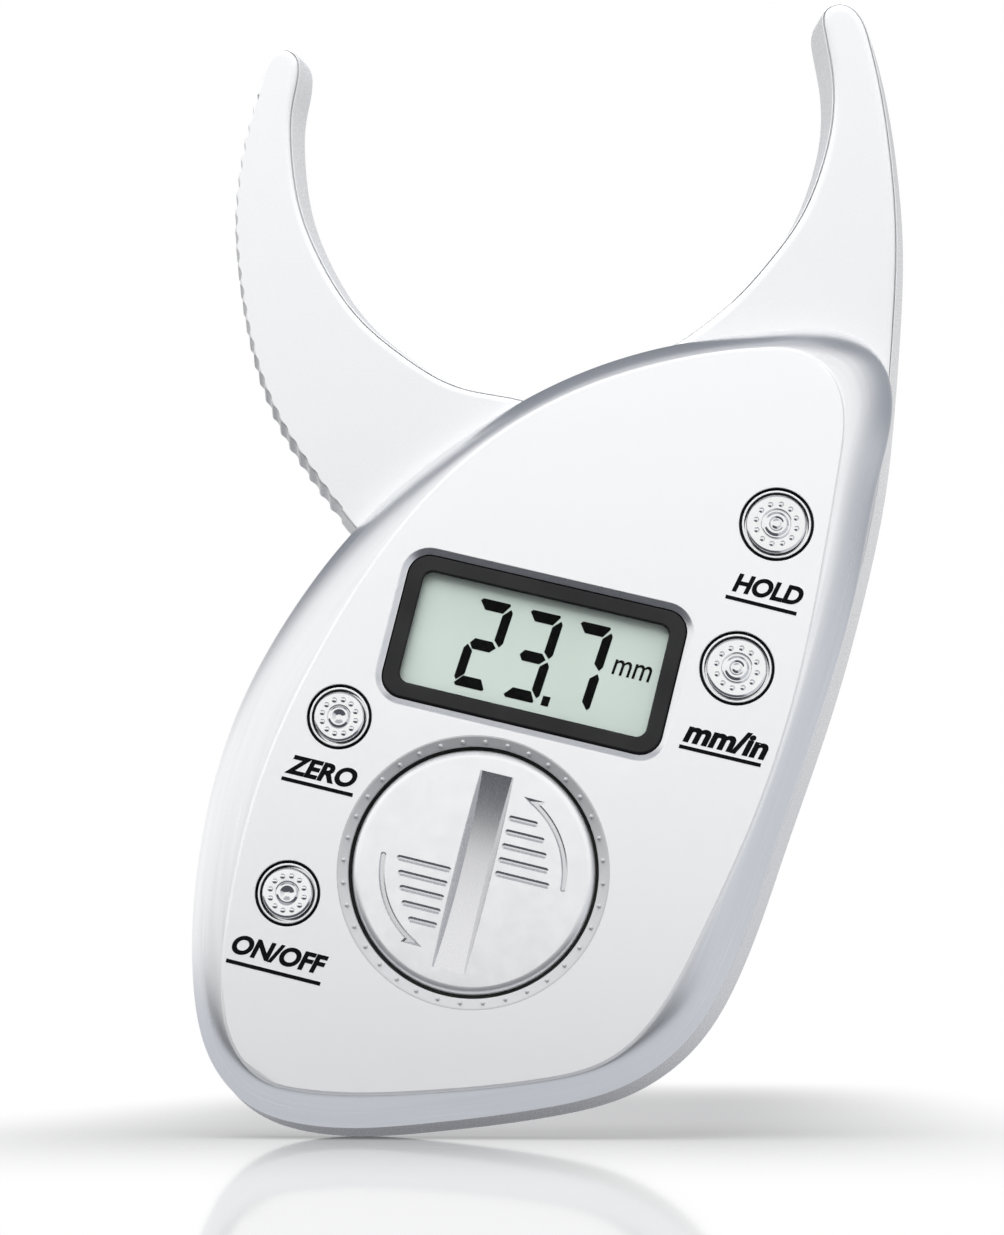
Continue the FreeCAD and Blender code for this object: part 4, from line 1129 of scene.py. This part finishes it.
def labels(material):
    z = PANEL_Z + INK_LIFT
    for name, word, low, high, start, end in LABELS:
        letters = lettering(word, low, high, z, LABEL_SLANT, LABEL_WEIGHT)
        piece(name, letters, "housing", material)
        line = underline(start, end, UNDERLINE_WIDTH, z)
        piece(name + "_line", line, "housing", material)
    unit = lettering("mm", *UNIT_BOX, LCD_Z[1] + INK_LIFT, UNIT_SLANT, UNIT_WEIGHT)
    piece("lcd_unit", unit, "housing", material)


# Battery compartment


def battery_tray(material):
    """Cup below the battery cover with its dished collar."""
    form = Form()
    bore = BORE_RADIUS - 0.1
    line = softened([
        (0, TRAY_Z, 0), (TRAY_RADIUS, TRAY_Z, 0.3), (TRAY_RADIUS, COLLAR_Z, 0), (COLLAR_RADIUS, COLLAR_Z, 0),
        (COLLAR_RADIUS, PANEL_Z, 0), (COLLAR_RADIUS - 0.2, PANEL_Z, 0.12), (BORE_RADIUS, LIP_Z, 0.1),
        (bore, LIP_Z - 0.2, 0.08), (bore, STEP_Z, 0), (STEP_RADIUS, STEP_Z, 0),
        (STEP_RADIUS, TRAY_FLOOR_Z, 0.3), (0, TRAY_FLOOR_Z, 0),
    ])
    form.revolve(BATTERY_AT, line, 144)
    mesh = form.finish("battery_tray")
    piece("battery_tray", mesh, "housing", material, "battery_tray")


def coin_slot():
    """Cutter for the coin slot: the floor is an arc and the sides lean in, most in the middle."""
    form = Form()
    x, y = BATTERY_AT
    edge_depth, edge_width = COIN_SLOT_EDGE
    rows = []
    for row in range(COIN_SLOT_STEPS + 1):
        along = 2 * row / COIN_SLOT_STEPS - 1
        bulge = 1 - abs(along) ** COIN_SLOT_BULGE
        top = between(COIN_SLOT_WIDTH, bulge) / 2
        low = between(COIN_SLOT_FLOOR, bulge) / 2
        depth = between(COIN_SLOT_DEPTH, bulge)
        wide = top + edge_width
        section = [
            (-low, -depth), (low, -depth), (top, -edge_depth),
            (wide, CUT_RISE), (-wide, CUT_RISE), (-top, -edge_depth),
        ]
        at = y + along * COIN_SLOT_LENGTH / 2
        rows.append([form.mesh.verts.new((x + across, at, DISC_Z + rise)) for across, rise in section])
    form.through(rows)
    form.mesh.faces.new(rows[0])
    form.mesh.faces.new(rows[-1])
    return form.finish("coin_slot")


def polar(radius, degrees):
    angle = math.radians(degrees)
    return (BATTERY_AT[0] + radius * math.cos(angle), BATTERY_AT[1] + radius * math.sin(angle))


def arrow_loop(turn, inset):
    """Outline of a curved arrow with one barb, drawn smaller by the inset."""
    inner_radius, outer_radius = ARROW_SHAFT[0] + inset, ARROW_SHAFT[1] - inset
    middle = (inner_radius + outer_radius) / 2
    half = (outer_radius - inner_radius) / 2
    swing = math.degrees(inset / middle)
    tail, barb, tip = ARROW_TAIL + swing, ARROW_BARB + 1.5 * swing, ARROW_TIP - 5 * swing
    loop = []
    for step in range(9):
        angle = math.radians(180 + 180 * step / 8)
        spread = math.degrees(half * (1 + math.sin(angle)) / middle)
        loop.append(polar(middle + half * math.cos(angle), turn + tail + spread))
    for step in range(1, ARROW_STEPS + 1):
        share = 0.05 + 0.95 * step / ARROW_STEPS
        loop.append(polar(outer_radius, turn + tail + (barb - tail) * share))
    loop.append(polar(ARROW_BARB_RADIUS - 1.5 * inset, turn + barb))
    loop.append(polar(ARROW_TIP_RADIUS, turn + tip))
    for step in range(ARROW_STEPS - 1, 1, -1):
        loop.append(polar(inner_radius, turn + tail + (tip - 4 - tail) * step / ARROW_STEPS))
    return np.array(loop)


def cover_grooves():
    """Cutters for the grip lines and the two arrows, with walls that lean in."""
    form = Form()
    x, y = BATTERY_AT
    low, high = DISC_Z - GROOVE_DEPTH, DISC_Z + 0.02
    narrow = GRIP_WIDTH - 2 * GROOVE_LEAN[0]
    for row, length in enumerate(GRIP_LENGTHS):
        for side in (-1, 1):
            at_y = y + side * (GRIP_TOP - row * GRIP_PITCH)
            start = (x + side * (GRIP_START + GRIP_END), at_y)
            end = (x + side * (GRIP_START + length - GRIP_END), at_y)
            form.prism(capsule(start, end, GRIP_WIDTH), low, high, capsule(start, end, narrow))
    for turn in (0, 180):
        form.prism(arrow_loop(turn, 0.0), low, high, arrow_loop(turn, GROOVE_LEAN[1]))
    return form.finish("grooves")


def battery_cover(material, metal):
    form = Form()
    base = DISC_BASE
    line = softened([
        (0, base, 0), (SKIRT[0], base, 0), (SKIRT[0], SKIRT_Z, 0.2), (SKIRT[1], SKIRT_Z, 0.2),
        (SKIRT[1], base, 0), (DISC_RADIUS, base, 0.1), (DISC_RADIUS, DISC_Z, 1.4), (0, DISC_Z, 0),
    ], steps=8)
    form.revolve(BATTERY_AT, line, 144)
    mesh = carved(carved(form.finish("cover"), coin_slot()), cover_grooves())
    finishes = [material, metal]
    give_materials(mesh, finishes)
    for face in mesh.polygons:
        deep = base + 0.2 < face.center.z < DISC_Z - HAIR
        face.material_index = int(deep and math.dist(face.center[:2], BATTERY_AT) < ENGRAVED_RADIUS)
    piece("battery_cover", mesh, "battery_door", finishes, "battery_cover", sharp=20.0)


def cover_seal(material):
    form = Form()
    inside, outside = DISC_RADIUS + 0.02, BORE_RADIUS - 0.04
    low, high = SEAL_Z
    middle = (low + high) / 2
    section = softened([
        (inside, middle, 0), (inside, high, 0.25), (outside, high, 0.25),
        (outside, low, 0.25), (inside, low, 0.25), (inside, middle - 0.1, 0),
    ])
    form.revolve(BATTERY_AT, section, 128, closed=True)
    mesh = form.finish("cover_seal")
    piece("cover_seal", mesh, "battery_door", material, "cover_seal")


# Repeated studs and screws, made by geometry nodes


class NodeTree(Nodes):
    """Geometry node tree with named numbers and a material as its inputs."""

    def __init__(self, name, **kinds):
        super().__init__(bpy.data.node_groups.new(name, "GeometryNodeTree"))
        self.identifiers = {}
        self.socket("Geometry", "Geometry")
        for label, kind in kinds.items():
            self.socket(label, kind)
        self.socket("Material", "Material")
        self.socket("Geometry", "Geometry", "OUTPUT")
        self.given = self.add("NodeGroupInput").outputs

    def socket(self, label, kind, way="INPUT"):
        made = self.tree.interface.new_socket(label, in_out=way, socket_type="NodeSocket" + kind)
        self.identifiers.setdefault(label, made.identifier)

    def raised(self, shape, length, share):
        """The shape, moved up by a share of a length."""
        move = self.add("ShaderNodeCombineXYZ", {"Z": self.maths("MULTIPLY", length, share)})
        return self.add("GeometryNodeTransform", {"Geometry": shape, "Translation": move})

    def close(self, points, shape):
        """Put the shape on the points, make the instances real and give them the material."""
        spread = self.add("GeometryNodeInstanceOnPoints", {"Points": points, "Instance": shape})
        real = self.add("GeometryNodeRealizeInstances", {"Geometry": spread})
        painted = {"Geometry": real, "Material": self.given["Material"]}
        self.add("NodeGroupOutput", {"Geometry": self.add("GeometryNodeSetMaterial", painted)})

    def run(self, mesh, **values):
        """Plain mesh that the tree makes from a mesh and its named values."""
        made = place(mesh, "seed")
        modifier = made.modifiers.new("nodes", "NODES")
        modifier.node_group = self.tree
        for label, value in values.items():
            modifier[self.identifiers[label]] = value
        return evaluated(made)


def stud_tree():
    """Round studs evenly spaced on a circle."""
    tree = NodeTree("studs", Count="Int", Circle="Float", Stud="Float", Phase="Float")
    given = tree.given
    line = tree.add("GeometryNodeMeshCircle", {"Vertices": given["Count"], "Radius": given["Circle"]})
    angle = tree.add("ShaderNodeCombineXYZ", {"Z": given["Phase"]})
    turned = tree.add("GeometryNodeTransform", {"Geometry": line, "Rotation": angle})
    ball = {"Segments": 14, "Rings": 8, "Radius": given["Stud"]}
    tree.close(turned, tree.add("GeometryNodeMeshUVSphere", ball))
    return tree


def screw_tree():
    """A screw with a cross recess, its head down, at every point of the mesh."""
    names = ("Head", "Height", "Shaft", "Length", "Cross_Length", "Cross_Width", "Cross_Depth")
    tree = NodeTree("screws", **dict.fromkeys(names, "Float"))
    given = tree.given
    cylinder = "GeometryNodeMeshCylinder"
    head = tree.add(cylinder, {"Vertices": 40, "Radius": given["Head"], "Depth": given["Height"]})
    shaft = tree.add(cylinder, {"Vertices": 24, "Radius": given["Shaft"], "Depth": given["Length"]})
    cut = tree.add("GeometryNodeMeshBoolean", {"Mesh 1": head}, operation="DIFFERENCE")
    deep = tree.maths("MULTIPLY", given["Cross_Depth"], 2.0)
    for first, second in (("Cross_Length", "Cross_Width"), ("Cross_Width", "Cross_Length")):
        size = tree.add("ShaderNodeCombineXYZ", {"X": given[first], "Y": given[second], "Z": deep})
        bar = tree.add("GeometryNodeMeshCube", {"Size": size})
        tree.feed(cut.inputs["Mesh 2"], tree.raised(bar, given["Height"], -0.5))
    screw = tree.add("GeometryNodeJoinGeometry", {"Geometry": cut})
    tree.feed(screw.inputs["Geometry"], tree.raised(shaft, given["Length"], 0.5))
    tree.close(given["Geometry"], screw)
    return tree


def housing_screws(material):
    points = bpy.data.meshes.new("screw_points")
    middle = SCREW_SUNK + SCREW_HEAD_HEIGHT / 2
    points.from_pydata([(x, y, middle) for x, y in HOUSING_SCREWS], [], [])
    length, width, depth = CROSS
    mesh = screw_tree().run(
        points, Head=SCREW_HEAD_RADIUS, Height=SCREW_HEAD_HEIGHT, Shaft=SCREW_RADIUS,
        Length=SCREW_END_Z - middle, Cross_Length=length, Cross_Width=width, Cross_Depth=depth,
        Material=material)
    piece("housing_screws", mesh, "housing", material, "housing_screws")


def studs(tree, name, at, z, **values):
    mesh = tree.run(bpy.data.meshes.new(name), **values)
    mesh.transform(Matrix.Translation((*at, z)))
    return mesh


def collar_dots(tree, material):
    mesh = studs(tree, "collar_dots", BATTERY_AT, DOT_Z, Count=DOTS, Circle=DOT_CIRCLE, Stud=DOT_RADIUS,
                 Phase=math.radians(DOT_PHASE), Material=material)
    piece("collar_dots", mesh, "housing", material, "battery_tray")


# Buttons


def cap_line(radius, ring_share, middle):
    """Section of a button cap from the axis below to the axis on top."""
    top = CAP_TOP
    flange, flange_top = radius + FLANGE[0], CAP_BASE + FLANGE[1]
    ring = radius * ring_share
    line = [
        (0, CAP_BASE, 0), (flange, CAP_BASE, 0.1), (flange, flange_top, 0.1), (radius, flange_top, 0),
        (radius, top, 0.5), (radius - 0.75, top, 0.15),
        (ring + 0.14, top, 0.05), (ring, top - 0.1, 0.04), (ring - 0.14, top, 0.05),
    ]
    line += [(radius * share, top + rise, cut) for share, rise, cut in middle]
    return softened(line)


def buttons(tree, material):
    for name, at, radius, ring_share, middle in BUTTONS:
        form = Form()
        form.revolve(at, cap_line(radius, ring_share, middle), 96)
        cap = form.finish(name)
        piece(name + "_button", cap, name + "_key", material, name + "_button")
        nubs = studs(tree, name + "_nubs", at, CAP_TOP + NUB_OUT - NUB_RADIUS, Count=NUBS,
                     Circle=NUB_SHARE * radius, Stud=NUB_RADIUS, Phase=0.0, Material=material)
        piece(name + "_nubs", nubs, name + "_key", material, name + "_button")


# Pieces that keep the shape of their solid


def inner_finishes(steel):
    """Material of every node that is shown as it is."""
    moulded = inner("switch_plastic", (0.045, 0.045, 0.05), (0.075, 0.075, 0.08), 3.0, 0.5)
    track = inner("copper_track", (0.62, 0.34, 0.17), (0.76, 0.45, 0.25), 2.0, 0.35, 1.0)
    spring = inner("spring_steel", (0.5, 0.5, 0.51), (0.64, 0.64, 0.64), 1.0, 0.3, 1.0)
    return {
        "lcd_holder": inner("grey_plastic", (0.3, 0.3, 0.31), (0.38, 0.38, 0.39), 6.0, 0.5),
        "lcd_connector_strips": inner("silicone_rubber", (0.1, 0.1, 0.11), (0.14, 0.14, 0.15), 1.0, 0.65),
        "circuit_board": board_laminate(),
        "controller_chip": inner("black_epoxy", (0.015, 0.015, 0.015), (0.03, 0.03, 0.03), 2.0, 0.35),
        "board_components": inner("tinned_metal", (0.55, 0.55, 0.54), (0.68, 0.68, 0.66), 1.0, 0.3, 1.0),
        "pivot_bush": inner("brass_bush", (0.66, 0.5, 0.22), (0.76, 0.6, 0.3), 1.5, 0.3, 1.0),
        "coin_cell": inner("cell_steel", (0.7, 0.7, 0.68), (0.74, 0.74, 0.72), 0.6, 0.25, 1.0),
        **dict.fromkeys(["tact_switches"] + [name + "_plunger" for name, *rest in BUTTONS], moulded),
        **dict.fromkeys(("encoder_stator", "encoder_rotor"), track),
        **dict.fromkeys(("pivot_washer", "pivot_screw", "board_screws"), steel),
        **dict.fromkeys(("return_spring", "positive_contact", "negative_contact"), spring),
        "lcd_panel": lcd_face(),
    }


# Studio

FLOOR_Z = cad_box[0][2]
FLOOR_REACH = 60.0
CAMERA_AT = (0.01975, -0.43322, -0.04468)
CAMERA_TILT = 99.0
CAMERA_TURN = 4.8
CAMERA_LENS = 78.34
SENSOR = 36.0

# Greys of the studio that gloss reflects: direction, cosines of the patch's inner and outer edge, colour
STUDIO_PATCHES = [
    ((0.0, 0.3, 0.95), 0.70, 0.42, (0.12, 0.135, 0.17)),
    ((-0.1, 0.72, 0.69), 0.95, 0.84, (0.12, 0.135, 0.17)),
    ((-0.1, -0.5, 0.86), 0.97, 0.86, (0.45, 0.46, 0.49)),
    ((0.97, 0.22, 0.0), 0.95, 0.28, (0.26, 0.28, 0.32)),
]
# Light from above, and from the left, the right and the back along the horizon
SKY = (0.66, 0.67, 0.68)
SKYLINE = (0.24, 0.245, 0.25)
SKYLINE_RIGHT = (0.52, 0.525, 0.53)
SKYLINE_BACK = (0.78, 0.785, 0.79)
# Cosines between which the light turns from one to the other
RIGHT_EDGES = (-0.7, 0.7)
BACK_EDGES = (0.1, 0.8)
SKY_EDGES = (0.0, 0.7)

# Painted shadow: round the object the floor is a darker grey, which turns to white between the distances
# below.
FLOOR_MIDDLE = -0.022  # sideways, of the grey part of the floor
FLOOR_SIDES = (0.035, 0.115)  # the grey turns to white between these distances sideways
FLOOR_FRONT = (0.03, -0.16)  # and between these depths in front and behind
FLOOR_BACK = (0.1, 0.65)
# Colour of the painted shadow pool on the floor round the object.
PAINTED_SHADOW_GREY = ((0.3, 0.3, 0.305), (0.32, 0.32, 0.325))
FLOOR_GLOSS = 0.36
FLOOR_ROUGHNESS = 0.05
FLOOR_GLOSS_DEPTH = (0.05, 0.5)  # behind the object the gloss fades between these
FLOOR_GRAZING = (0.6, 0.92)  # the gloss comes in as the floor is seen more from the side
FLOOR_BOUNCE = (0.16, 0.16, 0.1632)
# Painted reflection: glowing colours that gloss shows in place of the floor, below the object, in front of
# it and to the right
PAINTED_REFLECTION_GREY = (0.58, 0.6, 0.64)
PAINTED_REFLECTION_DARK = (0.07, 0.075, 0.09)
PAINTED_REFLECTION_PALE = (0.6, 0.62, 0.66)
DARK_FRONT = (-0.031, -0.045)  # the dark front part starts between these depths
PALE_FRONT = (-0.6, -1.2)  # and ends between these
PALE_RIGHT = (0.036, 0.06)

# Name, place, point it faces, width and height, power
LAMPS = [
    ("key_lamp", (-0.15, -0.36, 0.7), (0.0, 0.0, 0.03), (0.8, 0.8), 8.5),
    ("fill_lamp", (1.0, -0.15, 0.12), (0.0, 0.0, 0.02), (0.5, 0.6), 4.4),
]


def studio_world():
    """White behind the object, soft greys for gloss, and even light that is stronger from above."""
    world = bpy.data.worlds.new("studio")
    bpy.context.scene.world = world
    world.use_nodes = True
    sky = Nodes(world.node_tree)
    sky.tree.nodes.clear()
    direction = sky.add("ShaderNodeTexCoord").outputs["Generated"]
    gloss = WHITE
    for aim, inner_edge, outer_edge, colour in STUDIO_PATCHES:
        gloss = sky.blend(sky.step(sky.towards(direction, aim), outer_edge, inner_edge), gloss, colour)
    right = sky.step(sky.towards(direction, (1, 0, 0)), *RIGHT_EDGES)
    back = sky.step(sky.towards(direction, (0, 1, 0)), *BACK_EDGES)
    up = sky.step(sky.towards(direction, (0, 0, 1)), *SKY_EDGES)
    side = sky.blend(back, sky.blend(right, SKYLINE, SKYLINE_RIGHT), SKYLINE_BACK)
    shown, camera = sky.shown_rays()
    colour = sky.blend(shown, sky.blend(up, side, SKY), gloss)
    background = sky.add("ShaderNodeBackground", {"Color": sky.blend(camera, colour, WHITE)})
    sky.add("ShaderNodeOutputWorld", {"Surface": background})


def painted_shadow_fade(finish):
    """0 round the object, where the floor shows its painted grey shadow pool, 1 where the floor is as white
    as the background.
    """
    part = finish.parts(shift=(-FLOOR_MIDDLE, 0.0, 0.0))
    share = finish.step(finish.maths("ABSOLUTE", part["X"]), *FLOOR_SIDES)
    for edges in (FLOOR_FRONT, FLOOR_BACK):
        share = finish.blend(finish.step(part["Y"], *edges), share, WHITE)
    return share


def painted_floor_reflection(finish):
    """Painted reflection that gloss shows in place of the lit floor: glowing grey below the object, darker
    in front of it, white beyond.
    """
    part = finish.parts()
    colour = finish.blend(finish.step(part["Y"], *DARK_FRONT), PAINTED_REFLECTION_GREY, PAINTED_REFLECTION_DARK)
    colour = finish.blend(finish.step(part["X"], *PALE_RIGHT), colour, PAINTED_REFLECTION_PALE)
    colour = finish.blend(finish.step(part["Y"], *PALE_FRONT), colour, WHITE)
    return finish.add("ShaderNodeEmission", {"Color": colour})


def floor_material():
    """Painted grey shadow pool near the object under pale gloss, fading to the white background; a painted
    reflection for gloss rays, and a darker bounce.
    """
    finish = Finish("pale_floor")
    # Painted shadow pool: a dark grey matt floor near the object, which also takes the real shadows.
    shadow_pool = finish.add("ShaderNodeBsdfDiffuse", {"Color": finish.blend(finish.patches(400.0), *PAINTED_SHADOW_GREY)})
    base = finish.shaders(painted_shadow_fade(finish), shadow_pool, finish.add("ShaderNodeEmission"))
    mirror = finish.add("ShaderNodeBsdfGlossy", {"Color": WHITE, "Roughness": FLOOR_ROUGHNESS})
    faded = finish.step(finish.parts()["Y"], *FLOOR_GLOSS_DEPTH)
    slant = finish.add("ShaderNodeLayerWeight").outputs["Facing"]
    share = finish.maths("MULTIPLY", finish.spread(faded, FLOOR_GLOSS, 0.0, 0.0, 1.0),
                         finish.step(slant, *FLOOR_GRAZING))
    shown, camera = finish.shown_rays()
    seen = finish.shaders(camera, painted_floor_reflection(finish), finish.shaders(share, base, mirror))
    bounce = finish.add("ShaderNodeBsdfDiffuse", {"Color": FLOOR_BOUNCE})
    whole = finish.shaders(shown, bounce, seen)
    finish.feed(finish.tree.nodes["Material Output"].inputs["Surface"], whole)
    finish.tree.nodes.remove(finish.shader)
    return finish.material


def studio_floor():
    mesh = bpy.data.meshes.new("floor")
    signs = ((-1, -1), (1, -1), (1, 1), (-1, 1))
    corners = [(x * FLOOR_REACH, y * FLOOR_REACH, FLOOR_Z) for x, y in signs]
    mesh.from_pydata(corners, [], [(0, 1, 2, 3)])
    mesh.materials.append(floor_material())
    place(mesh, "floor")


def studio_lamps():
    for name, at, aim, size, power in LAMPS:
        lamp = bpy.data.lights.new(name, "AREA")
        lamp.shape = "RECTANGLE"
        lamp.size, lamp.size_y = size
        lamp.energy = power
        made = place(lamp, name)
        made.location = at
        made.rotation_euler = (Vector(aim) - Vector(at)).to_track_quat("-Z", "Y").to_euler()
        made.visible_glossy = False


def studio_camera():
    camera = bpy.data.cameras.new("camera")
    camera.lens = CAMERA_LENS
    camera.sensor_fit = "AUTO"
    camera.sensor_width = SENSOR
    camera.clip_start = 0.01
    camera.clip_end = 200.0
    made = place(camera, "camera")
    made.location = CAMERA_AT
    made.rotation_euler = (math.radians(CAMERA_TILT), 0.0, math.radians(CAMERA_TURN))
    bpy.context.scene.camera = made


def build():
    studio_camera()
    studio_world()
    studio_floor()
    studio_lamps()
    white = white_plastic()
    steel = plain_steel()
    collar = collar_paint()
    back_shell(white)
    moving_jaw(white)
    front_cover(silver_paint(), pearl_paint(), groove_dark())
    display_bezel(black_gloss())
    display_window(window_clear())
    lcd_digits(ink("lcd_ink", (0.003, 0.003, 0.003), 0.4))
    labels(ink("print_ink", (0.006, 0.006, 0.007), 0.45))
    battery_tray(collar)
    battery_cover(pearl_disc(), slot_metal())
    cover_seal(black_rubber())
    housing_screws(steel)
    tree = stud_tree()
    collar_dots(tree, collar)
    buttons(tree, chrome_plate())
    for name, material in inner_finishes(steel).items():
        give_materials(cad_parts[name].data, [material])


build()
bpy.context.scene.view_settings.view_transform = "Standard"
